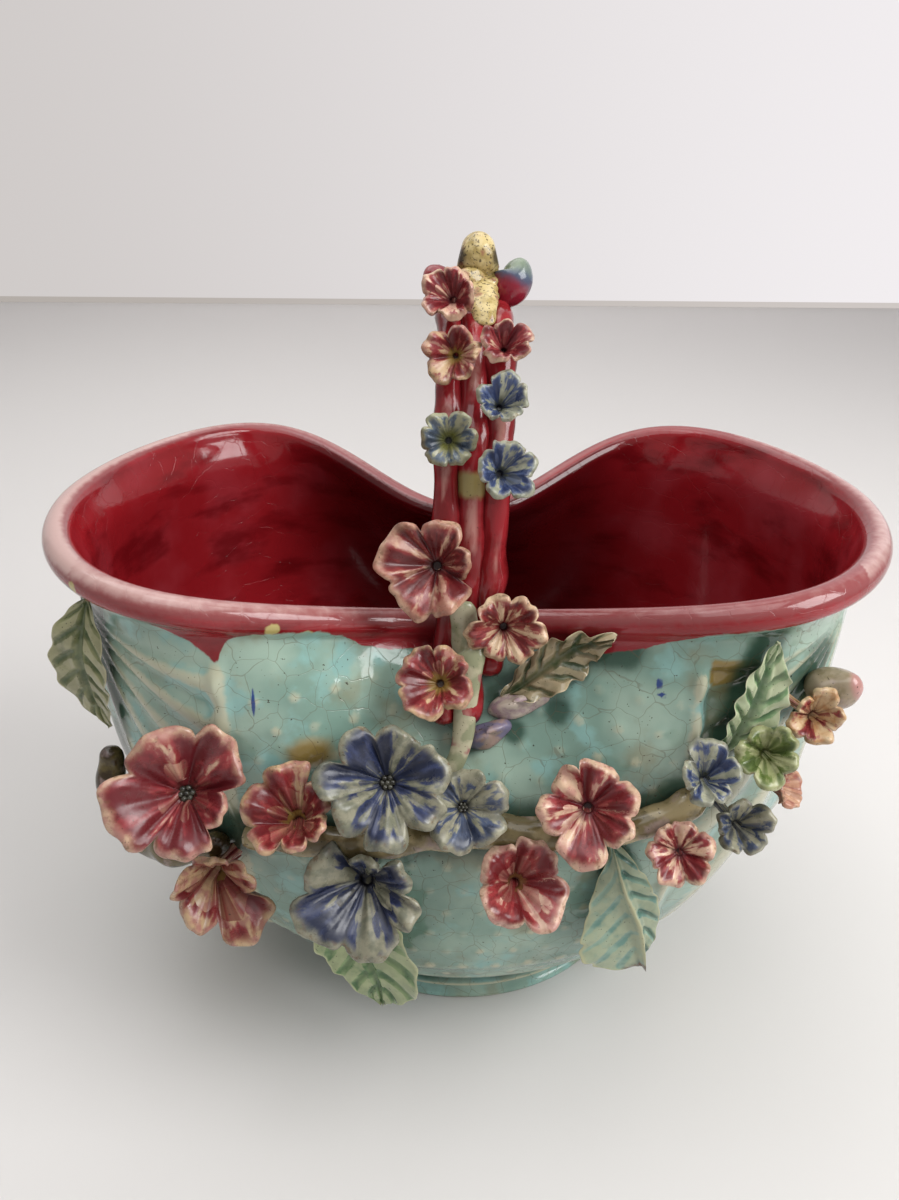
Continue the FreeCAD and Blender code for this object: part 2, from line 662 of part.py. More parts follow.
def make_all():
    nodes = {"bowl": make_bowl(), "foot": make_foot()}
    for name, place in (("strand_left", -1), ("strand_middle", 0), ("strand_right", 1)):
        nodes[name] = make_strand(place)
    nodes["knot_core"] = make_knot_core()
    nodes["knot_ear_left"] = make_ear(-1, EAR_LEFT_DIAMETER)
    nodes["knot_ear_right"] = make_ear(1, EAR_RIGHT_DIAMETER)
    nodes["knot_loop"] = make_knot_loop()
    nodes["knot_strap"] = make_knot_strap()
    nodes["stem_front"] = make_stem()
    for name, (stations, shares, count) in BRANCHES.items():
        nodes[name] = make_branch(stations, scaled(shares, BRANCH_DIAMETER), count,
                                  free_end=name == "branch_right_stub")
    for name, (stations, width, fold, twist) in LEAVES.items():
        nodes[name] = make_leaf(stations, width, fold, twist)
    for name, sizes in BUDS.items():
        nodes[name] = make_bud(*sizes)
    for name, (turn, rise, lift, form) in WALL_FLOWERS.items():
        point, normal = wall_seat(turn, rise)
        seat = (point + normal * lift, normal)
        nodes[name] = make_flower(seat, **form)
        if name in DOTTED_FLOWERS:
            nodes[name.replace("flower", "button")] = make_button(seat, **form)
    for name, (share, across, form) in HANDLE_FLOWERS.items():
        nodes[name] = make_flower(handle_seat(share, across), **form)
    return nodes


def main():
    os.makedirs("parts", exist_ok=True)
    for name, shape in make_all().items():
        shape.exportStep("parts/" + name + ".step")


if __name__ == "__main__":
    main()
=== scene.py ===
import math

import bmesh
import bpy
import numpy as np
from mathutils import Matrix, Vector, noise


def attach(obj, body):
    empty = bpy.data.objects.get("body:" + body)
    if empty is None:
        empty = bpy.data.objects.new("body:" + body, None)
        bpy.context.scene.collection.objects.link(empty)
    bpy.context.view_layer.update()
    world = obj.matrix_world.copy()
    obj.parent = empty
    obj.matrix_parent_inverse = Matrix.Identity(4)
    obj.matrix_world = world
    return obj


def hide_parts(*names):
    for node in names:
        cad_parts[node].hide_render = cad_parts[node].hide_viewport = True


"""The looks of a glazed earthenware flower basket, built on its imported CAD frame.

Forms are worked out in millimetres, as a potter would measure them, and become metres when
a mesh is made. Every form is a grid whose corners are moved to their place, so its UV map is
the grid itself: u goes round or across the piece and v goes along it.
"""

bl_info = {
    "name": "Flower basket jardiniere",
    "version": (1, 0, 0),
    "blender": (4, 5, 0),
    "location": "3D View > Sidebar > Basket",
    "description": "Builds a glazed earthenware basket with applied leaves and flowers",
    "category": "Object",
}

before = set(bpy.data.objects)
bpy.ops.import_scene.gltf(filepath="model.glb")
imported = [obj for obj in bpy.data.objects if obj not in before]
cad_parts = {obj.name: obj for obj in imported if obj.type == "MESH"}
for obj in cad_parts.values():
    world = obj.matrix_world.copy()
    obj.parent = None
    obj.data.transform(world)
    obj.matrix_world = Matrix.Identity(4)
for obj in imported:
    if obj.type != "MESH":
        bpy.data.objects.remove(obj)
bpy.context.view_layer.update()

MM = 0.001                    # a millimetre in metres
UP = Vector((0, 0, 1))

# ---- the bowl's form, as in the CAD -----------------------------------------------------
FOOT_LENGTH = 115.0
FOOT_DEPTH = 107.0
FOOT_HEIGHT = 9.0
FOOT_BEAD = 1.5
RIM_LENGTH = 232.0
LOBE_DEPTH = 140.0
RIM_HEIGHT = 151.0
ROLL_DIAMETER = 8.4
ROLL_OVERHANG = 3.0
WALL = 5.0
FLOOR = 7.0
WAIST_PINCH = 0.65
PINCH_REACH = 0.254 * RIM_LENGTH
PINCH_GROWTH = 2.2
WAIST_DIP = 23.0
WAIST_DIP_REACH = 0.2025 * RIM_LENGTH
END_DIP = 2.4
CORNER_POWER = 0.08
BELLY_RISE = (0.10, 0.25, 0.45, 0.70)
BELLY_HALF_LENGTH = tuple(share * RIM_LENGTH / 2 for share in (0.698, 0.836, 0.948, 0.974))
BELLY_HALF_DEPTH = tuple(share * LOBE_DEPTH / 2 for share in (0.914, 1.029, 1.043, 1.014))
CROWN_HEIGHT = 205.0
STRAND_DIAMETER = 7.0
STRAND_SEAT_RISE = 0.81
STEM_DIAMETER = 5.6
BRANCH_DIAMETER = 8.6
HANDLE_LEAN = 1.5
LUTING = 0.15
TURNS = 48
OUTER_RISES = (0.0, 0.03, 0.07, 0.12, 0.18, 0.26, 0.35, 0.45, 0.55, 0.65, 0.75, 0.84, 0.91, 0.96)
ROLL_ANGLES = (-50, -15, 20, 55, 90, 125, 160, 190)
INNER_RISES = (0.94, 0.88, 0.78, 0.66, 0.54, 0.42, 0.30, 0.20, 0.12, 0.06, 0.0)
OUTERMOST_RISE = 1.5          # the rise that stands for the roll's outermost line
ROLL_DEGREES = 120            # how far round the roll one more unit of rise goes

# ---- steps over which a slope is taken --------------------------------------------------
RING_STEP = 0.002             # round a ring, in radians
TURN_STEP = 0.2               # round the skin, in degrees
LEVEL_STEP = 0.02             # up the skin
PATH_STEP = 0.01              # along a path, as a share of it
WELD = 0.002                  # how near corners are that become one

# ---- main colours, in sRGB --------------------------------------------------------------
TURQUOISE = "8ab2ab"
TURQUOISE_LIGHT = "9eb5a5"
BARE_CLAY = "c3bea2"
RUBY = "8f1a21"
COBALT_BLUE = "2c437c"


def smooth(levels, values, at):
    """A monotone cubic through the values."""
    slopes = [(values[i + 1] - values[i]) / (levels[i + 1] - levels[i]) for i in range(len(levels) - 1)]

    def tangent(i):
        if i == 0 or i == len(slopes):
            return slopes[min(i, len(slopes) - 1)]
        before, after = slopes[i - 1], slopes[i]
        return 0.0 if before * after <= 0 else 2 * before * after / (before + after)

    i = max([k for k in range(len(slopes)) if levels[k] <= at + 1e-9] or [0])
    step = levels[i + 1] - levels[i]
    t = (at - levels[i]) / step
    return ((1 + 2 * t) * (1 - t) ** 2 * values[i] + t * (1 - t) ** 2 * step * tangent(i)
            + t * t * (3 - 2 * t) * values[i + 1] - t * t * (1 - t) * step * tangent(i + 1))


def belly(foot, stations, rim, rise):
    """A half size of the wall at this rise, from the foot's to the rim's."""
    return smooth((0.0,) + BELLY_RISE + (1.0,), (foot,) + stations + (rim,), rise)


def half_length_at(rise):
    """Half the wall's length at this rise."""
    return belly(FOOT_LENGTH / 2, BELLY_HALF_LENGTH, RIM_LENGTH / 2 - ROLL_OVERHANG, rise)


def power(value, exponent):
    """A power that keeps the sign."""
    return math.copysign(abs(value) ** exponent, value)


def plan_share(turn, pinch, exponent):
    """Shares of the half length and of the unpinched half depth at this turn."""
    along = power(math.cos(turn), exponent)
    waist = math.exp(-(along * RIM_LENGTH / 2 / PINCH_REACH) ** 2)
    return along, power(math.sin(turn), exponent) * (1 - pinch * waist)


LOBES = {}


def lobe_share(pinch, exponent):
    """The largest share of the depth that a ring with this pinch reaches, at its lobes."""
    key = (pinch, exponent)
    if key not in LOBES:
        LOBES[key] = max(plan_share(math.radians(degree), pinch, exponent)[1] for degree in range(0, 91, 3))
    return LOBES[key]


def ring_point(turn, rise, half_length, half_depth):
    """A point of the ring at this rise. Its height dips at the waist and at the ends."""
    pinch = WAIST_PINCH * rise ** PINCH_GROWTH
    exponent = 1 + CORNER_POWER * rise
    along, across = plan_share(turn, pinch, exponent)
    dip = WAIST_DIP * math.exp(-(along * RIM_LENGTH / 2 / WAIST_DIP_REACH) ** 2)
    dip += END_DIP * along ** 4
    z = FOOT_HEIGHT + (RIM_HEIGHT - FOOT_HEIGHT) * rise - dip * rise ** 2
    return Vector((half_length * along, half_depth * across / lobe_share(pinch, exponent), z))


def outward(ring, turn):
    """The level direction square to a ring."""
    way = ring(turn + RING_STEP) - ring(turn - RING_STEP)
    return Vector((way.y, -way.x, 0)).normalized()


def outer_ring(rise):
    """The wall's ring at this rise: a function from a turn in radians to a point."""
    half_length = half_length_at(rise)
    half_depth = belly(FOOT_DEPTH / 2, BELLY_HALF_DEPTH, LOBE_DEPTH / 2 - 1, rise)
    return lambda turn: ring_point(turn, rise, half_length, half_depth)


def inner_ring(rise):
    """The outer ring moved in by the wall, and up by what the floor is thick."""
    outer = outer_ring(rise)
    lift = UP * (FLOOR * (1 - rise))
    return lambda turn: outer(turn) - outward(outer, turn) * WALL + lift


def roll_ring(angle):
    """A ring round the rolled rim: 0 points out, 90 up."""
    def middle(turn):
        return ring_point(turn, 1.0, RIM_LENGTH / 2, LOBE_DEPTH / 2)

    out = math.cos(math.radians(angle)) * ROLL_DIAMETER / 2
    up = UP * (math.sin(math.radians(angle)) * ROLL_DIAMETER / 2)
    return lambda turn: middle(turn) + outward(middle, turn) * out + up


# ---- the bowl's skin, a cubic surface over its rings ------------------------------------

BOWL_RINGS = ([outer_ring(rise) for rise in OUTER_RISES] + [roll_ring(angle) for angle in ROLL_ANGLES]
              + [inner_ring(rise) for rise in INNER_RISES])
POLE_TURNS = [2 * math.pi * (k + 0.5) / TURNS for k in range(TURNS)]
POLES = np.array([[tuple(ring(turn)) for ring in BOWL_RINGS] for turn in POLE_TURNS])
SPANS = len(BOWL_RINGS) - 3
KNOTS = [0.0] * 3 + [float(k) for k in range(SPANS + 1)] + [float(SPANS)] * 3
POLE_LEVELS = [sum(KNOTS[k + 1:k + 4]) / 3 for k in range(len(BOWL_RINGS))]
OUTER_LEVELS = POLE_LEVELS[:len(OUTER_RISES)]
ROLL_LEVELS = POLE_LEVELS[len(OUTER_RISES):len(OUTER_RISES) + len(ROLL_ANGLES)]


def up_weights(level):
    """What each ring counts for at this level of the skin."""
    level = min(max(level, 0.0), SPANS - 1e-9)
    weights = [1.0 if KNOTS[k] <= level < KNOTS[k + 1] else 0.0 for k in range(len(KNOTS) - 1)]
    for degree in (1, 2, 3):
        for k in range(len(weights) - degree):
            left = KNOTS[k + degree] - KNOTS[k]
            right = KNOTS[k + degree + 1] - KNOTS[k + 1]
            value = (level - KNOTS[k]) / left * weights[k] if left else 0.0
            value += (KNOTS[k + degree + 1] - level) / right * weights[k + 1] if right else 0.0
            weights[k] = value
    return np.array(weights[:len(BOWL_RINGS)])


def round_weights(turn):
    """What each pole of a ring counts for at this turn, in degrees."""
    place = (turn / 360.0 * TURNS - 0.5) % TURNS
    first = int(place)
    t = place - first
    weights = np.zeros(TURNS)
    shares = ((1 - t) ** 3 / 6, (3 * t ** 3 - 6 * t ** 2 + 4) / 6,
              (-3 * t ** 3 + 3 * t ** 2 + 3 * t + 1) / 6, t ** 3 / 6)
    for k, share in zip(range(-1, 3), shares):
        weights[(first + k) % TURNS] += share
    return weights


def skin_point(turn, level):
    """The point of the skin at this turn and level."""
    return Vector(np.einsum("i,ijk,j->k", round_weights(turn), POLES, up_weights(level)))


def skin_seat(turn, level):
    """The skin's point here and its outward normal."""
    round_way = skin_point(turn + TURN_STEP, level) - skin_point(turn - TURN_STEP, level)
    up_way = skin_point(turn, level + LEVEL_STEP) - skin_point(turn, level - LEVEL_STEP)
    return skin_point(turn, level), round_way.cross(up_way).normalized()


def level_of(rise):
    """The skin's level for a rise: up to 1 on the wall, and over 1 round the roll."""
    wall_top = OUTER_RISES[-1]
    if rise <= wall_top:
        return smooth(OUTER_RISES, OUTER_LEVELS, rise)
    if rise <= 1.0:
        share = (rise - wall_top) / (1 - wall_top) / 2
        return OUTER_LEVELS[-1] + (ROLL_LEVELS[0] - OUTER_LEVELS[-1]) * share
    angle = (rise - OUTERMOST_RISE) * ROLL_DEGREES
    return smooth(ROLL_ANGLES, ROLL_LEVELS, min(max(angle, ROLL_ANGLES[0]), ROLL_ANGLES[-1]))


def wall_seat(turn, rise):
    """A point on the outside of the bowl and its outward normal."""
    return skin_seat(turn, level_of(rise))


# ---- paths, grids and meshes ------------------------------------------------------------

def catmull(points, share):
    """A smooth path through the points, at this share of its length in stations."""
    count = len(points) - 1
    place = min(max(share, 0.0), 1.0) * count
    i = min(int(place), count - 1)
    t = place - i
    before = points[max(i - 1, 0)]
    after = points[min(i + 2, count)]
    a, b = points[i], points[i + 1]
    return 0.5 * ((2 * a) + (b - before) * t + (2 * before - 5 * a + 4 * b - after) * t ** 2
                  + (3 * a - before - 3 * b + after) * t ** 3)


def path_frame(path, share):
    """The point, the side and the normal of a path of (point, normal) stations."""
    points = [point for point, normal in path]
    normals = [normal for point, normal in path]
    way = (catmull(points, share + PATH_STEP) - catmull(points, share - PATH_STEP)).normalized()
    normal = catmull(normals, share)
    normal = (normal - way * normal.dot(way)).normalized()
    return catmull(points, share), normal.cross(way), normal


def evened(path, count=40):
    """The same path with stations an even distance apart."""
    points = [catmull([station[0] for station in path], k / count) for k in range(count + 1)]
    lengths = [0.0]
    for a, b in zip(points, points[1:]):
        lengths.append(lengths[-1] + (b - a).length)
    shares = np.interp(np.linspace(0, lengths[-1], count + 1), lengths, np.linspace(0, 1, count + 1))
    return [path_frame(path, share)[::2] for share in shares]


def wall_path(stations):
    """A path over the wall through stations of (turn, rise, lift)."""
    path = []
    for turn, rise, lift in stations:
        point, normal = wall_seat(turn, rise)
        path.append((point + normal * lift, normal))
    return path


def in_scene(name, bm, material):
    """The bmesh as an object at the origin, in its material."""
    mesh = bpy.data.meshes.new(name)
    bm.to_mesh(mesh)
    bm.free()
    mesh.materials.append(material)
    piece = bpy.data.objects.new(name, mesh)
    bpy.context.scene.collection.objects.link(piece)
    return piece


def fired(name, bm, material):
    """A finished piece of clay: smooth all over, and one with the rest."""
    piece = in_scene(name, bm, material)
    piece.data.shade_smooth()
    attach(piece, "root")
    return piece


def clay(name, columns, rows, place, fields, material):
    """A piece of clay: a grid whose corners go where place(u, v) says, in millimetres.

    place gives the point, and then one value for each named field, which the glaze reads. Edges
    that meet are welded, and an end that stays open is filled.
    """
    bm = bmesh.new()
    bm.loops.layers.uv.new("UVMap")
    bmesh.ops.create_grid(bm, x_segments=columns, y_segments=rows, size=0.5, calc_uvs=True)
    layers = [bm.verts.layers.float.new(field) for field in fields]
    for vert in bm.verts:
        point, *values = place(vert.co.x + 0.5, vert.co.y + 0.5)
        vert.co = Vector(point) * MM
        for layer, value in zip(layers, values):
            vert[layer] = value
    bmesh.ops.remove_doubles(bm, verts=bm.verts, dist=WELD * MM)
    open_edges = [edge for edge in bm.edges if edge.is_boundary]
    if open_edges:
        bmesh.ops.holes_fill(bm, edges=open_edges, sides=0)
    bmesh.ops.recalc_face_normals(bm, faces=bm.faces)
    return fired(name, bm, material)


def stand_for(piece, node):
    """The piece takes the place of a CAD node, which is hidden."""
    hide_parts(node)


# ---- glazes -----------------------------------------------------------------------------

def hex_colour(text):
    """An sRGB colour such as "c8102e" as a linear one."""
    shares = [int(text[k:k + 2], 16) / 255 for k in (0, 2, 4)]
    linear = [s / 12.92 if s <= 0.04045 else ((s + 0.055) / 1.055) ** 2.4 for s in shares]
    return (*linear, 1.0)


def add(tree, kind, inputs=None, **settings):
    """A node with its settings. An input is a value, or the socket that it is linked to."""
    node = tree.nodes.new(kind)
    for name, value in settings.items():
        setattr(node, name, value)
    for key, value in (inputs or {}).items():
        if isinstance(value, bpy.types.NodeSocket):
            tree.links.new(value, node.inputs[key])
        else:
            node.inputs[key].default_value = value
    return node


def millimetres(tree):
    """Object coordinates in millimetres."""
    place = add(tree, "ShaderNodeTexCoord").outputs["Object"]
    return add(tree, "ShaderNodeVectorMath", {0: place, 3: 1 / MM}, operation="SCALE").outputs[0]


def grain(tree, size, detail=3.0, stretch=(1, 1, 1), seed=0.0):
    """Noise whose lumps are about this many millimetres across, round 0.5."""
    shift = (seed * 31.0, seed * 17.0, seed * 7.0)
    moved = add(tree, "ShaderNodeVectorMath", {0: millimetres(tree), 1: shift}, operation="ADD").outputs[0]
    scaled = add(tree, "ShaderNodeVectorMath", {0: moved, 1: stretch}, operation="MULTIPLY").outputs[0]
    return add(tree, "ShaderNodeTexNoise",
               {"Vector": scaled, "Scale": 1.0 / size, "Detail": detail}).outputs[0]


def fields_of(tree, *names):
    """What a piece's corners carry for its glaze, under these names."""
    found = [add(tree, "ShaderNodeAttribute", attribute_name=name).outputs["Fac"] for name in names]
    return found if len(names) > 1 else found[0]


def product(tree, a, b):
    """Where both are: one share times the other."""
    return add(tree, "ShaderNodeMath", {0: a, 1: b}, operation="MULTIPLY").outputs[0]


def step(tree, value, low, high, wobble=None, reach=0.0):
    """0 below low and 1 above high, softly. The wobble, about 0.5, moves the edge by the reach."""
    if wobble is not None:
        value = add(tree, "ShaderNodeMath", {0: wobble, 1: reach, 2: value},
                    operation="MULTIPLY_ADD").outputs[0]
    return add(tree, "ShaderNodeMapRange", {0: value, 1: low + reach / 2, 2: high + reach / 2},
               interpolation_type="SMOOTHSTEP").outputs[0]


def coats(tree, colour, *layers):
    """Coats of glaze over a colour. Each is its own colour, where it lies, and how much of it shows."""
    for paint, place, *share in layers:
        amount = product(tree, place, share[0]) if share else place
        under, over = (hex_colour(part) if isinstance(part, str) else part for part in (colour, paint))
        colour = add(tree, "ShaderNodeMix", {0: amount, 6: under, 7: over}, data_type="RGBA").outputs[2]
    return colour


def mottled(tree, base, light, size, low=0.42, high=0.6, detail=4.0, seed=0.0):
    """A glaze that pales in soft lumps of this many millimetres, where it lies thinner."""
    return coats(tree, base, (light, step(tree, grain(tree, size, detail, seed=seed), low, high)))


def crackle(tree, size, width):
    """The fine net of cracks in a glaze: 1 in a crack. Sizes are in millimetres."""
    place = millimetres(tree)
    warp = add(tree, "ShaderNodeTexNoise", {"Vector": place, "Scale": 0.12, "Detail": 2.0}).outputs[1]
    place = add(tree, "ShaderNodeVectorMath", {0: warp, 1: (5.0, 5.0, 5.0), 2: place},
                operation="MULTIPLY_ADD").outputs[0]
    edge = add(tree, "ShaderNodeTexVoronoi", {"Vector": place, "Scale": 1.0 / size},
               feature="DISTANCE_TO_EDGE").outputs["Distance"]
    return step(tree, edge, width / size, 0.2 * width / size)


def specks(tree, size, share):
    """Dark pinholes and grit: 1 in a speck."""
    return step(tree, grain(tree, size, 1.0), 1 - share, 1 - share + 0.04)


def new_glaze(name):
    """An empty material and its node tree."""
    material = bpy.data.materials.new(name)
    material.use_nodes = True
    material.node_tree.nodes.clear()
    return material, material.node_tree


def fire(tree, colour, rough, height=None, depth=0.12):
    """Closes a glaze: a glassy coat on fired clay. Its unevenness breaks the highlights up."""
    uneven = grain(tree, 3.0, 2.0)
    relief = uneven
    if height is not None:
        relief = add(tree, "ShaderNodeMath", {0: uneven, 1: 0.4, 2: height},
                     operation="MULTIPLY_ADD").outputs[0]
    bump = add(tree, "ShaderNodeBump", {"Height": relief, "Strength": 0.5, "Distance": depth * MM})
    gloss = add(tree, "ShaderNodeMapRange", {0: uneven, 1: 0.3, 2: 0.7, 3: rough * 0.7, 4: rough * 1.5})
    shader = add(tree, "ShaderNodeBsdfPrincipled", {"Base Color": colour, "Roughness": gloss.outputs[0],
                                                    "IOR": 1.5, "Normal": bump.outputs[0]})
    add(tree, "ShaderNodeOutputMaterial", {"Surface": shader.outputs[0]})


BOWL_GLAZE = "Majolica_turquoise_and_ruby_glaze"
CRACK_NET = 7.5               # mesh of the crackle, and width of a crack drawn wide enough to show
CRACK_WIDTH = 0.13


def bowl_glaze(colours):
    """Majolica glazes over pressed earthenware: turquoise outside, ruby inside and over the lip.

    Both are glassy. The turquoise runs off the relief, where the cream clay shows, and collects
    dark green beside the luted pieces, deepened there by painted shade. Painted shade also darkens
    the ruby towards the middle of the inside, and a painted highlight pales the top of the roll.
    It is crackled, and has grit in it.
    """
    material, tree = new_glaze(BOWL_GLAZE)
    relief, border, lip, khaki, pool_and_shade, cobalt, spot, dots, core = fields_of(tree, *BOWL_FIELDS)
    turquoise, bare_clay, ruby_red, blue = ((*colour, 1.0) for colour in (
        colours.turquoise, colours.bare_clay, colours.ruby, colours.cobalt))
    rubbed = step(tree, grain(tree, 16.0, 3.0, seed=7), 0.36, 0.62)
    showing = add(tree, "ShaderNodeMath", {0: rubbed, 1: 0.5, 2: 0.12}, operation="MULTIPLY_ADD").outputs[0]
    dotted = product(tree, step(tree, dots, 0.25, 1.0, grain(tree, 1.6, 3.0, seed=4), 0.7), showing)
    cracks = crackle(tree, CRACK_NET, CRACK_WIDTH)
    outside = coats(
        tree, mottled(tree, "7d9a8d", TURQUOISE_LIGHT, 24.0, 0.4, 0.64, detail=3.0),
        (turquoise, step(tree, grain(tree, 13.0, 4.0, seed=9), 0.52, 0.66)),
        ("837d60", step(tree, grain(tree, 16.0, 5.0, seed=2), 0.53, 0.70), 0.6),
        (bare_clay, step(tree, relief, 0.25, 1.0, grain(tree, 2.5, 4.0, seed=3), 0.9), 0.75),
        (bare_clay, dotted),
        ("637f72", step(tree, relief, -0.15, -0.9, grain(tree, 3.0), 0.4), 0.7),
        ("85713f", step(tree, khaki, 0.3, 0.9, grain(tree, 4.0, 4.0), 0.4)),
        # pooled glaze with painted shade: dark green beside the branches and leaves
        ("2c4a3c", step(tree, pool_and_shade, 0.0, 0.75, grain(tree, 6.0, 4.0), 0.6), 0.9),
        (blue, step(tree, cobalt, 0.4, 0.7, grain(tree, 1.5), 0.3)),
        ("63523a", cracks, 0.36),
        ("352c20", specks(tree, 0.8, 0.27), 0.85))
    # the pale top of the roll: thin glaze under a painted highlight
    pale = coats(tree, "8a4647", ("bd9c96", step(tree, lip, 0.35, 1.0, grain(tree, 3.0, 5.0), 0.5)))
    brushed = grain(tree, 12.0, 4.0, stretch=(0.5, 0.5, 1.4), seed=6)
    inside = coats(
        tree, mottled(tree, ruby_red, "9a3038", 26.0, 0.42, 0.68, detail=3.0, seed=5),
        ("640a10", step(tree, brushed, 0.48, 0.72), 0.8),
        # painted shade: the ruby darkens towards the middle of the inside
        ("2c0204", step(tree, core, 0.0, 1.0), 0.82),
        (pale, step(tree, lip, 0.02, 0.3, grain(tree, 2.0, 4.0), 0.2)),
        ("b7a76a", step(tree, spot, 0.3, 0.6, grain(tree, 1.5, 3.0), 0.4)))
    colour = coats(tree, outside, (inside, step(tree, border, -0.35, 0.35, grain(tree, 2.0, 4.0), 1.6)))
    fire(tree, colour, rough=0.1, height=product(tree, cracks, -0.5))
    return material


def rope_glaze():
    """Ruby glaze on hand-rolled strands: painted shade near black in the grooves and on the sides, and thin
    and pink on the crests under a painted highlight.
    """
    material, tree = new_glaze("Majolica_ruby_glaze")
    khaki, front = fields_of(tree, "khaki", "front")
    worn_and_sheen = step(tree, grain(tree, 5.0, 5.0, stretch=(1, 1, 0.3), seed=4), 0.47, 0.66)
    crest = step(tree, front, 0.93, 1.0)
    colour = coats(
        tree, mottled(tree, "7c1a1e", "94262c", 7.0, 0.4, 0.6, detail=3.0),
        # painted shade on the sides and in the grooves between strands
        ("48090c", step(tree, front, 0.85, 0.5, grain(tree, 4.0, seed=1), 0.3), 0.85),
        # painted highlight on the crests, in patches where the glaze is also worn thin
        ("bd8a80", product(tree, worn_and_sheen, crest), 0.8),
        ("9a8a58", step(tree, khaki, 0.3, 0.8, grain(tree, 2.5, 4.0), 0.5)),
        ("2c070a", specks(tree, 0.7, 0.28), 0.6))
    fire(tree, colour, rough=0.13)
    return material


def leaf_glaze(name, deep, middle, pale):
    """Copper green glaze on a pressed leaf: dark in the veins, cream where it ran off the edges."""
    material, tree = new_glaze(name)
    vein, edge, tip = fields_of(tree, "vein", "edge", "tip")
    colour = coats(
        tree, mottled(tree, deep, middle, 5.0, 0.38, 0.6),
        ("2d5236", step(tree, vein, 0.15, 0.8, grain(tree, 2.0), 0.4), 0.45),
        (pale, step(tree, vein, 0.12, 0.0, grain(tree, 3.0, 4.0, seed=2), 0.3), 0.55),
        (pale, step(tree, edge, 0.55, 0.95, grain(tree, 2.0, 4.0), 0.5)),
        ("5b4128", step(tree, tip, 0.2, 0.7, grain(tree, 2.0), 0.4)),
        ("2f281a", specks(tree, 0.7, 0.28), 0.75))
    fire(tree, colour, rough=0.14)
    return material


def branch_glaze(name, base, light):
    """Manganese brown and khaki glaze on a rolled branch, with a pink blush on a cut end."""
    material, tree = new_glaze(name)
    blush = fields_of(tree, "blush")
    colour = coats(
        tree, mottled(tree, base, light, 6.0),
        ("a58f8c", step(tree, grain(tree, 5.0, 4.0, seed=8), 0.55, 0.7), 0.6),
        ("b67f7c", step(tree, blush, 0.2, 0.9, grain(tree, 3.0), 0.3), 0.8),
        ("2f2a1c", specks(tree, 0.8, 0.3), 0.7))
    fire(tree, colour, rough=0.15)
    return material


def stem_glaze():
    """Pale celadon over a stem that was flattened by the fingers, ruby where the strands' glaze ran."""
    material, tree = new_glaze("Majolica_celadon_glaze")
    colour = coats(
        tree, mottled(tree, "8e9072", "b3ac90", 4.0),
        ("94565a", step(tree, grain(tree, 7.0, seed=6), 0.56, 0.64), 0.8),
        ("3b3321", specks(tree, 0.7, 0.3), 0.7))
    fire(tree, colour, rough=0.14)
    return material


def flower_glaze(name, ground, blush, streak, dark, heart, inked, heart_size, streaks, seed):
    """Tin-white petals brushed outwards with colour, which ran into the grooves and left the edges bare.
    Painted shade darkens the grooves further.

    inked is how much of the petals the brush covered, and streaks how many strokes go round.
    """
    material, tree = new_glaze(name)
    reach, ridge, turned = fields_of(tree, "reach", "ridge", "turned")
    fan = add(tree, "ShaderNodeCombineXYZ", {0: product(tree, turned, streaks), 1: product(tree, reach, 0.8),
                                             2: seed}).outputs[0]
    broad, fine = (add(tree, "ShaderNodeTexNoise", {"Vector": fan, "Scale": scale, "Detail": 4.0}).outputs[0]
                   for scale in (1.0, 3.6))
    wet = broad
    for part, share in ((ridge, -0.06), (fine, 0.55)):
        wet = add(tree, "ShaderNodeMath", {0: part, 1: share, 2: wet}, operation="MULTIPLY_ADD").outputs[0]
    level = 0.935 - 0.32 * inked
    within = step(tree, reach, 0.985, 0.80, fine, 0.34)
    grit = product(tree, step(tree, grain(tree, 1.6, 4.0, seed=seed + 2), 0.56, 0.66),
                   step(tree, reach, 0.8, 1.0))
    colour = coats(
        tree, mottled(tree, ground, blush, 3.0, 0.4, 0.62, detail=5.0, seed=seed),
        (streak, product(tree, within, step(tree, wet, level - 0.01, level + 0.075)), 0.93),
        (dark, product(tree, within, step(tree, wet, level + 0.06, level + 0.2)), 0.8),
        # painted shade in the grooves between the petals' ridges
        (dark, step(tree, ridge, -0.35, -1.0), 0.45),
        (heart, step(tree, reach, heart_size * 1.35, heart_size * 0.35, broad, 0.35), 0.9),
        ("150c08", step(tree, reach, 0.115, 0.05), 0.85),
        ("6e5236", grit, 0.6),
        ("33281c", specks(tree, 0.6, 0.29), 0.7),
        (dark, step(tree, reach, 0.24, 0.08), 0.35))
    fire(tree, colour, rough=0.27, depth=0.25)
    return material


def plain_glaze(name, base, light, size):
    """One glaze, thin and light in places, with grit in it."""
    material, tree = new_glaze(name)
    colour = coats(tree, mottled(tree, base, light, size), ("3b3321", specks(tree, 0.7, 0.3), 0.7))
    fire(tree, colour, rough=0.15)
    return material


def knot_glaze():
    """Iron yellow glaze, speckled with the ruby beneath it, with painted shade dark brown in the loop's
    hollows.
    """
    material, tree = new_glaze("Majolica_iron_yellow_glaze")
    hollow_shade = fields_of(tree, "hollow_shade")
    colour = coats(
        tree, mottled(tree, "a8935c", "cdb983", 3.5, 0.4, 0.58),
        ("8a4c46", step(tree, grain(tree, 4.5, 6.0, seed=3), 0.53, 0.64), 0.7),
        ("3f3420", specks(tree, 0.7, 0.4), 0.8),
        # painted shade in the loop's hollows
        ("2b2115", step(tree, hollow_shade, 0.15, 0.75, grain(tree, 2.0), 0.2), 0.9))
    fire(tree, colour, rough=0.18)
    return material


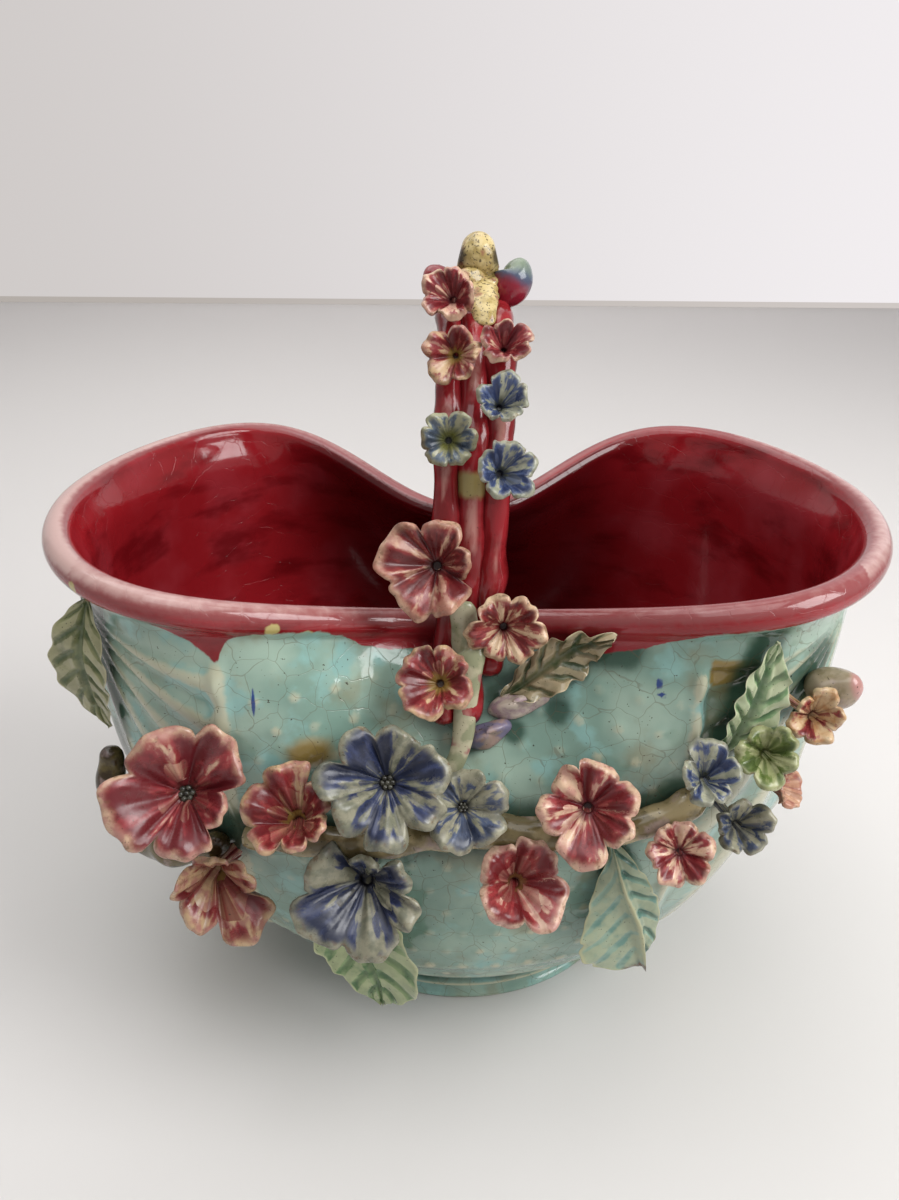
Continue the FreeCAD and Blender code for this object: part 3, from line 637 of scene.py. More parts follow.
def ear_glaze():
    """Ruby below, running up through blue into copper green."""
    material, tree = new_glaze("Majolica_ruby_to_green_glaze")
    high = fields_of(tree, "high")
    colour = coats(tree, "8c2434", ("4c566c", step(tree, high, 0.25, 0.6, grain(tree, 4.0), 0.3)),
                   ("7d8a76", step(tree, high, 0.55, 0.85, grain(tree, 4.0), 0.3)))
    fire(tree, colour, rough=0.15)
    return material


def table_paint():
    """Matt white paint on the table."""
    material, tree = new_glaze("Matt_white_table_paint")
    shader = add(tree, "ShaderNodeBsdfPrincipled", {"Base Color": hex_colour("d3d0ce"), "Roughness": 0.6})
    add(tree, "ShaderNodeOutputMaterial", {"Surface": shader.outputs[0]})
    return material


def wall_with_painted_light(name, dim, bright):
    """The far wall: to the camera and in reflections it glows with painted light, brighter to the right; to
    other rays it is matt paint.
    """
    material, tree = new_glaze(name)
    across = add(tree, "ShaderNodeSeparateXYZ", {0: millimetres(tree)}).outputs[0]
    # painted light: the wall glows, brighter towards the right
    glow = add(tree, "ShaderNodeEmission", {0: coats(tree, dim, (bright, step(tree, across, -900.0, 900.0)))})
    matt = add(tree, "ShaderNodeBsdfDiffuse", {0: hex_colour(bright)})
    rays = add(tree, "ShaderNodeLightPath").outputs
    seen = rays["Is Camera Ray"]
    for kind in ("Is Glossy Ray", "Is Transmission Ray"):
        seen = add(tree, "ShaderNodeMath", {0: seen, 1: rays[kind]}, operation="MAXIMUM").outputs[0]
    shader = add(tree, "ShaderNodeMixShader", {0: seen, 1: matt.outputs[0], 2: glow.outputs[0]})
    add(tree, "ShaderNodeOutputMaterial", {"Surface": shader.outputs[0]})
    return material


# ---- the bowl and its relief ------------------------------------------------------------

def bump_at(distance, radius):
    """A soft round bump: 1 in the middle, 0 from the radius on."""
    share = min(abs(distance) / radius, 1.0)
    return (1 - share * share) ** 2


PANEL_LEFT = -60.0            # the lattice panel's sides and foot
PANEL_RIGHT = 55.5
PANEL_FOOT = 16.0
PANEL_FADE = 6.0              # how far inside the panel's sides the lattice reaches its full height
DOT_PITCH = 9.4               # how far apart the lattice's dots stand in a row, and its rows
ROW_PITCH = 0.87 * DOT_PITCH
DOT_RADIUS = 2.7
RELIEF = 0.75                 # how far the pressed relief stands out
RELIEF_FOOT = 0.04            # the rises between which it lies, and how softly it ends there
RELIEF_TOP = 0.93
RELIEF_FADE = 0.05
FAN_X = -104.0                # where the ridges of the left end's fan meet
FAN_Z = 139.0
FAN_SPREAD = 100.0            # degrees that the fan covers, and from ridge to ridge
FAN_PITCH = 15.0
FAN_SHIFT = 8.0               # how much further in the right end's fan lies
SLANT = (-51.0, -33.0)        # a short slanting ridge at the panel's upper left, from side to side
KHAKI_SILL = (56.5, 70.0, 110.0, 133.5)        # a sunk field, left, right, bottom and top
KHAKI_LUMP = (-39.0, 108.0, 6.5)               # a stained lump: across, height and radius
# The ruby's lower border on the wall and the roll, as turns and rises, dripping here and there.
BORDER = ((200, 1.40), (215, 1.36), (222, 1.02), (228, 0.975), (233, 0.94), (236.5, 0.905), (238, 0.955),
          (242, 1.10), (246, 1.26), (249, 1.34), (252, 1.10), (254.5, 0.965), (258, 0.955), (266, 0.955),
          (275, 0.955), (284, 0.955), (289, 0.945), (294, 0.955), (298, 1.0), (302, 1.22), (306, 1.20),
          (310, 1.12), (316, 1.22), (326, 1.33), (340, 1.40))
# Yellow spots on the roll, as turn, rise and radius.
SPOTS = ((243.8, 1.36, 3.2), (247.6, 1.12, 3.4), (216.5, 1.45, 3.0))
# Stray marks of cobalt on the front: across, height, and half their width and height.
COBALT = ((-51.8, 122.5, 0.7, 4.5), (46.4, 127.5, 0.8, 2.2), (47.2, 124.6, 1.5, 0.8), (18.5, 55.9, 1.3, 1.1))
# Where glaze ran together, darkened with painted shade, away from a branch or leaf: turn, rise and radius.
LONE_POOLS_AND_SHADE = ((204, 0.86, 8), (201, 0.74, 8), (199, 0.62, 8), (203, 0.52, 8), (270, 0.78, 6), (277, 0.80, 5),
              (283, 0.84, 6), (262, 0.64, 7), (305, 0.67, 8), (234, 0.66, 7), (246, 0.62, 7), (302, 0.70, 6))
POOL_AND_SHADE_TOP = 0.955              # pools and painted shade stay below the roll
BRANCH_POOL_AND_SHADE = 12.5
LEAF_POOL_AND_SHADE = 8.5

FRONT_COLUMNS = 330           # the front's mesh is finer, and so is the roll's
BACK_COLUMNS = 130
WALL_ROWS = 126
ROLL_ROWS = 33
INSIDE_ROWS = 44
BOWL_FIELDS = ("relief", "border", "lip", "khaki", "pool_and_shade", "cobalt", "spot", "dots", "core")


def lattice(x, z):
    """The panel's staggered dots, one over each other gap."""
    row = round(z / ROW_PITCH)
    shift = DOT_PITCH / 2 if row % 2 else 0.0
    column = round((x - shift) / DOT_PITCH)
    return bump_at(math.hypot(x - shift - column * DOT_PITCH, z - row * ROW_PITCH), DOT_RADIUS)


def fan(x, z):
    """Ridges that spread down from the left end's upper corner."""
    angle = math.degrees(math.atan2(FAN_Z - z, x - FAN_X))
    if not 0 < angle < FAN_SPREAD:
        return 0.0
    fade = min(angle / 8, (FAN_SPREAD - angle) / 12, 1.0)
    return fade * (0.5 + 0.5 * math.cos(2 * math.pi * angle / FAN_PITCH))


def relief_at(point, rise):
    """The moulded relief of the wall, and its dots alone: +1 on a ridge, under 0 in a hollow."""
    x, z = point.x, point.z
    if not RELIEF_FOOT <= rise <= RELIEF_TOP:
        return 0.0, 0.0
    fade = min((RELIEF_TOP - rise) / RELIEF_FADE, (rise - RELIEF_FOOT) / RELIEF_FADE, 1.0)
    dots = 0.0
    if PANEL_LEFT < x < PANEL_RIGHT:
        dots = lattice(x, z) * min((PANEL_RIGHT - x) / PANEL_FADE, (x - PANEL_LEFT) / PANEL_FADE, 1.0)
        height = 0.55 * dots - 0.1
    else:
        height = 1.5 * fan(x if x <= PANEL_LEFT else -x - FAN_SHIFT, z) - 0.45
    height += 1.4 * bump_at(x - PANEL_LEFT, 3.4) + 0.9 * bump_at(x - PANEL_RIGHT, 3.0)
    height += 0.9 * bump_at(z - PANEL_FOOT - 5, 2.6) * min(rise / 0.1, 1.0)
    height += 0.6 * bump_at(rise - 0.155, 0.025)
    if point.y < 0:
        height += front_relief(x, z)
    return fade * height, fade * dots


def front_relief(x, z):
    """What only the front has: the slanting ridge, the stained lump and the sunk field with its sill."""
    height = 0.0
    if SLANT[0] < x < SLANT[1]:
        height += 1.3 * bump_at(z - 130.2 + 0.27 * (x + 34), 2.0)
    middle, level, size = KHAKI_LUMP
    height += 1.5 * bump_at(math.hypot((x - middle) / 1.3, z - level), size)
    low, high, bottom, top = KHAKI_SILL
    if low < x < high and bottom < z < top:
        height -= 2.2 * min((x - low) / 2, (high - x) / 2, (z - bottom) / 5, (top - z) / 1.5, 1.0)
    return height + 1.0 * bump_at(z - top - 1, 2.2) * min(max(min(x - low, high - x), 0.0), 1.0)


def khaki_at(point):
    """Where the khaki glaze lies: in the sunk field, most on its sill, and over the lump."""
    if point.y > 0:
        return 0.0
    low, high, bottom, top = KHAKI_SILL
    inside = min(point.x - low, high - point.x, point.z - bottom, top + 3 - point.z)
    sill = min(max(inside / 2, 0.0), 1.0) * (1.0 if point.z > top - 5 else 0.55)
    middle, level, size = KHAKI_LUMP
    return max(sill, bump_at(math.hypot((point.x - middle) / 1.5, point.z - level), 1.2 * size))


def lip_at(point, angle):
    """How pale the top of the roll is, where the ruby lies thin and a painted highlight lies: most towards
    the left and at the ends.
    """
    leftward = min(max((-point.x - 5) / 95, 0), 1)
    return bump_at(angle - 70, 85) * (0.45 + 0.5 * leftward + (0.35 if abs(point.x) > 95 else 0))


def middle_shade_at(point):
    """How near a point of the inside is to the middle, where painted shade darkens the ruby."""
    return min(max((80 - abs(point.x - 4)) / 45, 0.0), 1.0)


def pools_and_shade():
    """Where glaze ran together and painted shade lies beside the luted pieces: a point of the wall and a
    size, in order.
    """
    runs = [(form[0], BRANCH_POOL_AND_SHADE, 30) for form in BRANCHES.values()]
    runs += [(form[0], LEAF_POOL_AND_SHADE, 12) for form in LEAVES.values()]
    places = []
    for stations, size, count in runs:
        points = [wall_seat(turn, min(rise, POOL_AND_SHADE_TOP))[0] for turn, rise, _ in stations]
        places += [(catmull(points, k / count), size) for k in range(count + 1)]
    return places + [(wall_seat(turn, rise)[0], size) for turn, rise, size in LONE_POOLS_AND_SHADE]


def nearness(points, places):
    """How near each point of a grid is to the nearest of the places: 1 there, 0 from its size on."""
    near = np.zeros(points.shape[:2])
    for place, size in places:
        share = np.minimum(np.linalg.norm(points - np.array(place), axis=2) / size, 1.0)
        near = np.maximum(near, (1 - share * share) ** 2)
    return near


def make_bowl(sizes, colours):
    """The whole wall, its roll and its inside as one skin, with the pressed relief outside."""
    outer_top, roll_top = ROLL_LEVELS[0], ROLL_LEVELS[-1]
    turns = [*np.linspace(180, 360, FRONT_COLUMNS + 1)[:-1], *np.linspace(360, 540, BACK_COLUMNS + 1)]
    levels = [*np.linspace(0, outer_top, WALL_ROWS)[:-1], *np.linspace(outer_top, roll_top, ROLL_ROWS)[:-1],
              *np.linspace(roll_top, SPANS, INSIDE_ROWS)]

    def over_skin(around, upward):
        return np.einsum("ai,ijk,bj->abk", np.array(around), POLES, np.array(upward))

    around = [round_weights(turn) for turn in turns]
    upward = [up_weights(level) for level in levels]
    round_way = [round_weights(turn + TURN_STEP) - round_weights(turn - TURN_STEP) for turn in turns]
    up_way = [up_weights(level + LEVEL_STEP) - up_weights(level - LEVEL_STEP) for level in levels]
    points = over_skin(around, upward)
    normals = np.cross(over_skin(round_way, upward), over_skin(around, up_way))
    normals /= np.maximum(np.linalg.norm(normals, axis=2, keepdims=True), 1e-9)
    # pooled glaze with painted shade beside the luted pieces
    pooled_and_shaded = nearness(points, pools_and_shade())
    spotted = nearness(points, [(wall_seat(turn, rise)[0], size) for turn, rise, size in SPOTS])
    rises = np.interp(levels, OUTER_LEVELS, OUTER_RISES)
    border_turns = [turn for turn, rise in BORDER]
    border_levels = [level_of(rise) for turn, rise in BORDER]

    def place(u, v):
        a = round(u * (len(turns) - 1))
        b = round(v * (len(levels) - 1))
        point, level, turn = Vector(points[a, b]), levels[b], turns[a] % 360
        relief = khaki = pool_and_shade = cobalt = lip = dots = core = 0.0
        edge = np.interp(turn if turn > 180 else 360 - turn, border_turns, border_levels)
        border = (level - edge) * (6.0 if level < outer_top else 1.7)
        if level < outer_top:
            relief, dots = relief_at(point, rises[b])
            khaki, pool_and_shade = khaki_at(point), pooled_and_shaded[a, b]
            if point.y < 0:
                cobalt = max(bump_at(math.hypot((point.x - x) / wide, (point.z - z) / high), 1.6)
                             for x, z, wide, high in COBALT)
            point += Vector(normals[a, b]) * (relief * sizes.relief / MM)
        if outer_top - 1 < level <= roll_top:
            lip = lip_at(point, np.interp(level, ROLL_LEVELS, ROLL_ANGLES))
        # painted shade towards the middle of the inside
        if level > roll_top - 2:
            core = middle_shade_at(point)
        return point, relief, border, lip, khaki, pool_and_shade, cobalt, spotted[a, b], dots, core

    piece = clay("Bowl", len(turns) - 1, len(levels) - 1, place, BOWL_FIELDS, bowl_glaze(colours))
    stand_for(piece, "bowl")


# Each ring of the foot is how far it stands out from the foot's oval, and its height. The glaze
# runs down past the bowl's border there, so the foot carries a border far below.
FOOT_PROFILE = ((-8.0, 4.0), (-8.0, 0.6), (-2.2, 0.0), (-0.9, 0.0), (-0.1, 0.9), (-0.3, 2.0),
                (-FOOT_BEAD, 3.4), (-FOOT_BEAD, 5.2), (-0.4, 6.0), (0.4, 6.6), (0.5, 7.2), (-0.2, 8.0),
                (-0.9, 8.6), (-2.5, FOOT_HEIGHT), (-9.0, FOOT_HEIGHT))


def make_foot():
    """The low oval foot with its thin ledge, and the recess beneath."""
    path = [Vector((grow, 0, z)) for grow, z in FOOT_PROFILE]
    carried = {name: 0.0 for name in BOWL_FIELDS} | {"border": -9.0}

    def place(u, v):
        angle = 2 * math.pi * u
        grow, _, z = catmull(path, v)
        carried["relief"] = bump_at(z - 7.0, 1.0) + 0.5 * bump_at(z - 0.8, 1.0)
        # pooled glaze with painted shade where the foot meets the bowl
        carried["pool_and_shade"] = 0.5 * bump_at(z - FOOT_HEIGHT, 2.2)
        half_length, half_depth = FOOT_LENGTH / 2 + grow, FOOT_DEPTH / 2 + grow
        return (half_length * math.cos(angle), half_depth * math.sin(angle), max(z, 0.0)), *carried.values()

    piece = clay("Foot", 160, 60, place, BOWL_FIELDS, bpy.data.materials[BOWL_GLAZE])
    stand_for(piece, "foot")


# ---- rods -------------------------------------------------------------------------------

def rod(name, path, thick, material, columns=20, rows=120, fields=(), paint_at=None, flat=1.0, lumps=0.08):
    """A hand-rolled rod of clay along a path of (point, normal), with round ends.

    thick(v) is its diameter, flat is how much lower than wide it is, and lumps is how uneven.
    """
    path = evened(path)
    length = sum((b[0] - a[0]).length for a, b in zip(path, path[1:]))

    def place(u, v):
        radius = thick(v) / 2
        away = min(v, 1 - v) * length / radius
        shrink = math.sqrt(max(1 - (1 - away) ** 2, 0.0)) if away < 1 else 1.0
        point, side, normal = path_frame(path, v)
        angle = 2 * math.pi * u
        across, up = math.cos(angle), math.sin(angle)
        bump = noise.noise(point * 0.12 + Vector((across, up, 0)) * 0.4)
        reach = radius * shrink * (1 + lumps * bump)
        at = point + side * (reach * across) + normal * (reach * flat * up)
        return (at, *(paint_at(point, angle, v) if paint_at else ()))

    return clay(name, columns, rows, place, fields, material)


def turn_at(across, rise, back=False):
    """The turn at which the wall stands this far across, in front or behind."""
    angle = math.degrees(math.asin(power(across / half_length_at(rise), 1 / (1 + CORNER_POWER * rise))))
    return 90 - angle if back else 270 + angle


def strand_route(across, seat_rise=STRAND_SEAT_RISE):
    """One strand's stations, up the front, over the crown and down behind."""
    lift = STRAND_DIAMETER / 2 + LUTING
    legs = []
    for back in (False, True):
        leg = []
        for rise in (seat_rise, (seat_rise + 1) / 2, OUTERMOST_RISE):
            point, normal = wall_seat(turn_at(across, min(rise, 1.0), back), rise)
            leg.append((point + normal * lift, normal))
        legs.append(leg)
    foot = legs[0][2][0]
    arch = []
    for degree in (30, 60, 90, 120, 150):
        along, up = math.cos(math.radians(degree)), math.sin(math.radians(degree))
        height = foot.z + (CROWN_HEIGHT - foot.z) * up
        arch.append((Vector((across + HANDLE_LEAN * up, foot.y * along, height)), Vector((0, -along, up))))
    return legs[0] + arch + legs[1][::-1]


def handle_seat(share, across):
    """A point on the front of the handle's strands, and the normal there."""
    point, _, normal = path_frame(MIDDLE_ROUTE, share)
    return point + normal * (STRAND_DIAMETER / 2) + Vector((across, 0, 0)), normal


MIDDLE_ROUTE = evened(strand_route(0.0), 60)
STRANDS = {                   # its place across, its width and its waviness
    "left": (-0.90, 0.98, 0.09),
    "middle": (0.0, 1.16, 0.06),
    "right": (0.92, 1.02, 0.14),
}
RIGHT_SEAT_RISE = 0.90        # the right strand ends higher up
KHAKI_PATCH = 0.262           # how far along the middle strand the bare patch lies, and its reach
KHAKI_REACH = 0.024


def make_strands(sizes):
    """The three strands lie pressed together, so their sides meet in a groove."""
    glaze = rope_glaze()
    thickness = sizes.strand_diameter / MM
    for name, (place, width, wave) in STRANDS.items():
        seat_rise = RIGHT_SEAT_RISE if name == "right" else STRAND_SEAT_RISE
        route = strand_route(place * STRAND_DIAMETER, seat_rise)

        def thick(v, place=place, width=width, wave=wave):
            pinch = math.sin(v * 47 + place * 2) + 0.5 * math.sin(v * 101 + place)
            return thickness * width * (1.02 + wave * pinch)

        def paint_at(point, angle, v, name=name):
            patch = bump_at(v - KHAKI_PATCH, KHAKI_REACH) if name == "middle" else 0.0
            return (patch * (0.6 + 0.4 * math.sin(angle)), 0.5 + 0.5 * math.sin(angle))

        piece = rod("Strand_" + name, route, thick, glaze, columns=28, rows=280, fields=("khaki", "front"),
                    paint_at=paint_at, lumps=0.22)
        stand_for(piece, "strand_" + name)


def make_stem_piece(sizes):
    """The pale stem, a flattened band from the strands' front down onto the wall."""
    width = sizes.stem_diameter / MM
    lift = STEM_DIAMETER / 2
    path = []
    for share, across in ((0.15, -1.6), (0.10, -0.4), (0.06, 1.0)):
        point, normal = handle_seat(share, across)
        path.append((point + normal * (lift + 0.9), normal))
    for turn, rise, clearance in ((268.6, 0.755, 1.2), (265.5, 0.71, -0.9), (262.0, 0.66, -1.3)):
        point, normal = wall_seat(turn, rise)
        path.append((point + normal * (lift + clearance), normal))
    piece = rod("Stem_front", path, lambda v: width * (1.25 - 0.1 * math.cos(9 * v) - 0.3 * v), stem_glaze(),
                rows=80, columns=28, flat=0.5, lumps=0.3)
    stand_for(piece, "stem_front")


BRANCHES = {                  # stations (turn, rise, lift), shares of the diameter, glaze colours
    "branch_front": ([(238, 0.53, 3.2), (255, 0.565, 3.2), (272, 0.59, 3.2), (288, 0.585, 3.2),
                      (296, 0.60, 3.2), (303, 0.635, 2.6)], (0.9, 1.0, 0.85), ("6f6242", "a2926c")),
    "branch_left": ([(207, 0.56, 3.4), (207.5, 0.49, 7.5), (212, 0.435, 9.5), (220, 0.42, 8.5),
                     (228, 0.455, 6.0), (235, 0.50, 3.6)], (0.85, 1.0, 0.9), ("3a2c18", "635631")),
    "branch_right_stub": ([(319, 0.79, 4.4), (321, 0.82, 6.5), (322.5, 0.845, 12.5)],
                          (1.0, 1.15, 1.15), ("84775a", "a3937c")),
}


def make_branches(sizes):
    """The three branches, rolled unevenly and laid over the wall."""
    thickness = sizes.branch_diameter / MM
    for name, (stations, shares, colours) in BRANCHES.items():
        def paint_at(point, angle, v, name=name):
            return (bump_at(1 - v, 0.3) if name == "branch_right_stub" else 0.0,)

        piece = rod(name.capitalize(), wall_path(stations),
                    lambda v, shares=shares: thickness * smooth((0.0, 0.5, 1.0), shares, v),
                    branch_glaze("Majolica_manganese_glaze_" + name, *colours), rows=90, fields=("blush",),
                    paint_at=paint_at, lumps=0.4)
        stand_for(piece, name)


# ---- the knot ---------------------------------------------------------------------------

KNOT_WIDTH = 10.4
KNOT_HEIGHT = 4.2
KNOT_DEPTH = 13.0
LOOP_DIAMETER = 12.0
LOOP_STRAP = 2.8
LOOP_WIDTH = 7.0


def make_knot():
    """A yellow knot over the crown: a core, an ear on either side, an upright loop and a strap."""
    seat = Vector((handle_seat(0.5, 0.0)[0].x, 0, CROWN_HEIGHT + STRAND_DIAMETER / 2))
    yellow = knot_glaze()
    core_half = (KNOT_WIDTH / 2 + 3.4, KNOT_DEPTH / 2 + 0.5, KNOT_HEIGHT / 2 + 3.0)

    def core_place(u, v):
        a, b = 2 * math.pi * u, math.pi * (v - 0.5)
        way = Vector((math.cos(a) * math.cos(b), math.sin(a) * math.cos(b), math.sin(b)))
        size = 1 + 0.45 * noise.noise(way * 1.6 + Vector((3.0, 0, 0)))
        flat = Vector((way.x, way.y, max(way.z, -0.8)))
        local = Vector(part * half for part, half in zip(flat, core_half)) * size
        return (seat + Vector((0, -1.0, 1.2)) + local,)

    stand_for(clay("Knot_core", 48, 32, core_place, (), yellow), "knot_core")

    def high_at(point, angle, v):
        return (min(max((point.z - seat.z + 2.0) / 9.5, 0.0), 1.0),)

    left_path = [(seat + Vector(step), Vector((0, -1, 0.2))) for step in
                 ((-9.4, -0.6, 6.6), (-9.6, -1.0, 4.0), (-8.0, -2.4, 1.0), (-5.0, -4.0, -2.0))]
    left = rod("Knot_ear_left", left_path, lambda v: 9.2 * smooth((0.0, 0.4, 1.0), (1.0, 0.95, 0.6), v),
               plain_glaze("Majolica_ruby_glaze_smooth", "7c1a22", "99484a", 7.0), columns=36, rows=40)
    stand_for(left, "knot_ear_left")
    right_path = [(seat + Vector(step), Vector((0, -1, 0.2))) for step in
                  ((9.0, -0.4, 7.4), (10.4, -1.0, 5.0), (9.4, -2.4, 1.4), (6.2, -4.4, -3.0))]
    right = rod("Knot_ear_right", right_path, lambda v: 10.2 * smooth((0.0, 0.4, 1.0), (0.95, 1.0, 0.6), v),
                ear_glaze(), columns=36, rows=40, fields=("high",), paint_at=high_at)
    stand_for(right, "knot_ear_right")
    outer = LOOP_DIAMETER / 2
    swell = 0.5               # how much thicker than its strap the loop is drawn
    middle = seat + Vector((0.8, 0, KNOT_HEIGHT + outer - 1.4))

    def loop_place(u, v):
        angle = math.radians(-85 + v * 350)
        way = Vector((0, math.cos(angle), math.sin(angle)))
        a = 2 * math.pi * u
        flare = 1.12 - 0.16 * math.sin(angle)
        wide = (LOOP_WIDTH / 2 + 0.9) * math.cos(a) * flare
        deep = (LOOP_STRAP / 2 + swell) * math.sin(a)
        bulge = 1.3 * math.cos(a) ** 2
        # where painted shade lies in the loop's hollows, at its sides
        edge = max(abs(math.cos(a)) - 0.5, 0.0) * 2 * max(1 - 1.3 * math.sin(angle) ** 2, 0.0)
        return middle + way * (outer - LOOP_STRAP / 2 - swell + deep - bulge) + Vector((wide, 0, 0)), edge

    loop = clay("Knot_loop", 32, 72, loop_place, ("hollow_shade",), yellow)
    stand_for(loop, "knot_loop")
    path = []
    for share, across, lift in ((0.49, 0.8, 2.2), (0.472, 0.8, 1.6), (0.455, 1.6, 1.0), (0.438, 2.6, 0.7),
                                (0.425, 2.8, 0.3)):
        point, normal = handle_seat(share, across)
        path.append((point + normal * (LUTING + lift), normal))
    strap = rod("Knot_strap", path, lambda v: 8.2 * smooth((0.0, 0.5, 1.0), (1.15, 1.0, 0.45), v), yellow,
                columns=32, rows=50, flat=0.42, lumps=0.7)
    stand_for(strap, "knot_strap")


# ---- leaves and buds --------------------------------------------------------------------

# Each leaf is its midrib's stations (turn, rise, lift), its width to the left and to the right of
# the midrib, its fold, its twist, how its edge is frilled, how thick the midrib is, and its colours.
LEAVES = {
    "leaf_left": ([(213, 0.955, 0.8), (212.5, 0.86, 4.6), (211.5, 0.75, 4.5), (211.5, 0.65, 3.0)],
                  8.5, 8.5, 0.35, 30, 0.5, 0.5, ("5f6540", "8d8f66", "b0ab8a")),
    "leaf_lower_left": ([(249, 0.44, 0.3), (252.5, 0.33, 2.8), (255.5, 0.23, 6.5), (255.5, 0.13, 10.5)],
                        17.0, 11.5, 0.34, 0, 0.5, 0.5, ("4f7446", "8aa26e", "b9bd94")),
    "leaf_handle": ([(275.6, 0.865, 0.6), (281, 0.905, 1.6), (286.5, 1.03, 2.0), (291.5, 1.45, 3.0)],
                    5.2, 7.4, 0.30, 0, 1.4, 0.5, ("4f5238", "8b7d60", "b5a586")),
    "leaf_right": ([(305.5, 0.72, 0.3), (308, 0.81, 1.0), (309.5, 0.90, 1.4), (310.3, 0.965, 2.0)],
                   6.0, 8.0, 0.42, 0, 0.7, 0.6, ("6f8f64", "9bac86", "c0c3a2")),
    "leaf_lower_right": ([(290.8, 0.54, 0.3), (292.8, 0.44, 2.6), (297.1, 0.32, 5.0), (301.2, 0.20, 9.5)],
                         7.5, 17.5, 0.10, 0, 0.6, 2.4, ("5f857a", "86a08e", "a9a985")),
}


ROLLED_MIDRIB = 2.0           # a midrib thicker than this is a roll of clay laid on the leaf


def leaf_outline(share, broad):
    """How wide a leaf is along its midrib, widest at half way, or further on where it is broad."""
    swell = 0.85 + (0.75 if broad else 0.0)
    return max(0.06, abs(math.sin(math.pi * min(share, 1.0) ** swell)) ** 0.8)


def make_leaves():
    """Each leaf is a thin sheet, folded at its midrib, with ribs and a frilled edge."""
    for seed, (name, form) in enumerate(LEAVES.items()):
        stations, left, right, fold, twist, frill, midrib, colours = form
        path = evened(wall_path(stations), 30)
        turned, level = math.sin(math.radians(twist)), math.cos(math.radians(twist))
        rolled = midrib > ROLLED_MIDRIB

        def place(u, v):
            point, flat_side, flat_normal = path_frame(path, v)
            side, normal = flat_normal * turned - flat_side * level, flat_normal * level + flat_side * turned
            angle = 2 * math.pi * u
            across, top = math.cos(angle), math.sin(angle)
            out = abs(across)
            width = right if across > 0 else left
            half = width * leaf_outline(v, rolled and across > 0)
            scallop = math.sin(v * 34 + seed) + 0.6 * math.sin(v * 61 + 2 * across)
            half *= 1 + 0.06 * frill * scallop * (out > 0.5)
            thick = 0.9 * (0.5 + 0.5 * math.sin(math.pi * v))
            ribs = math.cos(2 * math.pi * (v * 6.5 - out * 1.2))
            vein = max(ribs, 0.0) ** 2 * min(out * 4, 1.0) * (1 - out ** 6)
            height = fold * half * out + thick * (1 + top) * (1 - 0.35 * out * out)
            height += frill * 0.9 * math.sin(v * 30 + seed + across) * out ** 3
            height += 0.8 * noise.noise(Vector((across * 1.5, v * 4, seed)))
            if top > 0:
                quiet = rolled and across > 0
                height -= (0.3 if quiet else 0.9) * vein
                if rolled:
                    height += midrib * bump_at(across * width, 2.2)
                else:
                    height -= 0.8 * bump_at(across * width, 1.1)
                    height += 0.4 * bump_at(out * width - 2.0, 1.0)
            core = bump_at(across * width, 2.0)
            tip = max(1 - (1 - v) * 9, 0.0) if rolled else 0.0
            veined = max(0.9 * core * (not rolled), vein * (0.25 if rolled and across > 0 else 0.9))
            bare = max(out ** 7, 1 - min(v, 1 - v) * 16, core if rolled else 0.0)
            return (point + side * (half * across) + normal * height, veined if top > 0 else 0.3,
                    bare if top > 0 else 0.6, tip)

        piece = clay(name.capitalize(), 96, 100, place, ("vein", "edge", "tip"),
                     leaf_glaze("Majolica_copper_green_glaze_" + name, *colours))
        stand_for(piece, name)


BUDS = {                      # seat, length, width, lean, colours
    "bud_handle": ((273.4, 0.795), 13.0, 6.5, 60, ("9c857a", "77708a")),
    "sheath_handle": ((277.8, 0.853), 17.0, 6.5, 64, ("c2b4a6", "a28a90")),
    "bud_right": ((322, 0.745), 11.0, 9.0, 0, ("6f7d63", "959378")),
}


def make_buds():
    """Each bud is a drop of clay pressed on the wall, creased along its length."""
    for name, ((turn, rise), length, width, lean, colours) in BUDS.items():
        point, normal = wall_seat(turn, rise)
        side = UP.cross(normal).normalized()
        up = normal.cross(side)
        way = up * math.cos(math.radians(lean)) + side * math.sin(math.radians(lean))
        across = way.cross(normal)
        middle = point + normal * LUTING

        def place(u, v):
            a, b = 2 * math.pi * u, math.pi / 2 * v
            fold = 1 + 0.14 * math.cos(3 * a + 1) * math.cos(b)
            wide, long = width / 2 * math.cos(b) * fold, length / 2 * math.cos(b)
            crease = 0.22 * math.cos(7 * wide * math.cos(a) / width + 0.6 * math.sin(3 * math.sin(a)))
            return (middle + across * (wide * math.cos(a)) + way * (long * math.sin(a))
                    + normal * (width * math.sin(b) * (0.55 + crease * math.sin(b))),)

        glaze = plain_glaze("Majolica_glaze_" + name, *colours, 4.0)
        piece = clay(name.capitalize(), 60, 30, place, (), glaze)
        stand_for(piece, name)


# ---- flowers ----------------------------------------------------------------------------

BRANCH_MIDDLE = 3.2
ON_BRANCH = BRANCH_MIDDLE + BRANCH_DIAMETER / 2
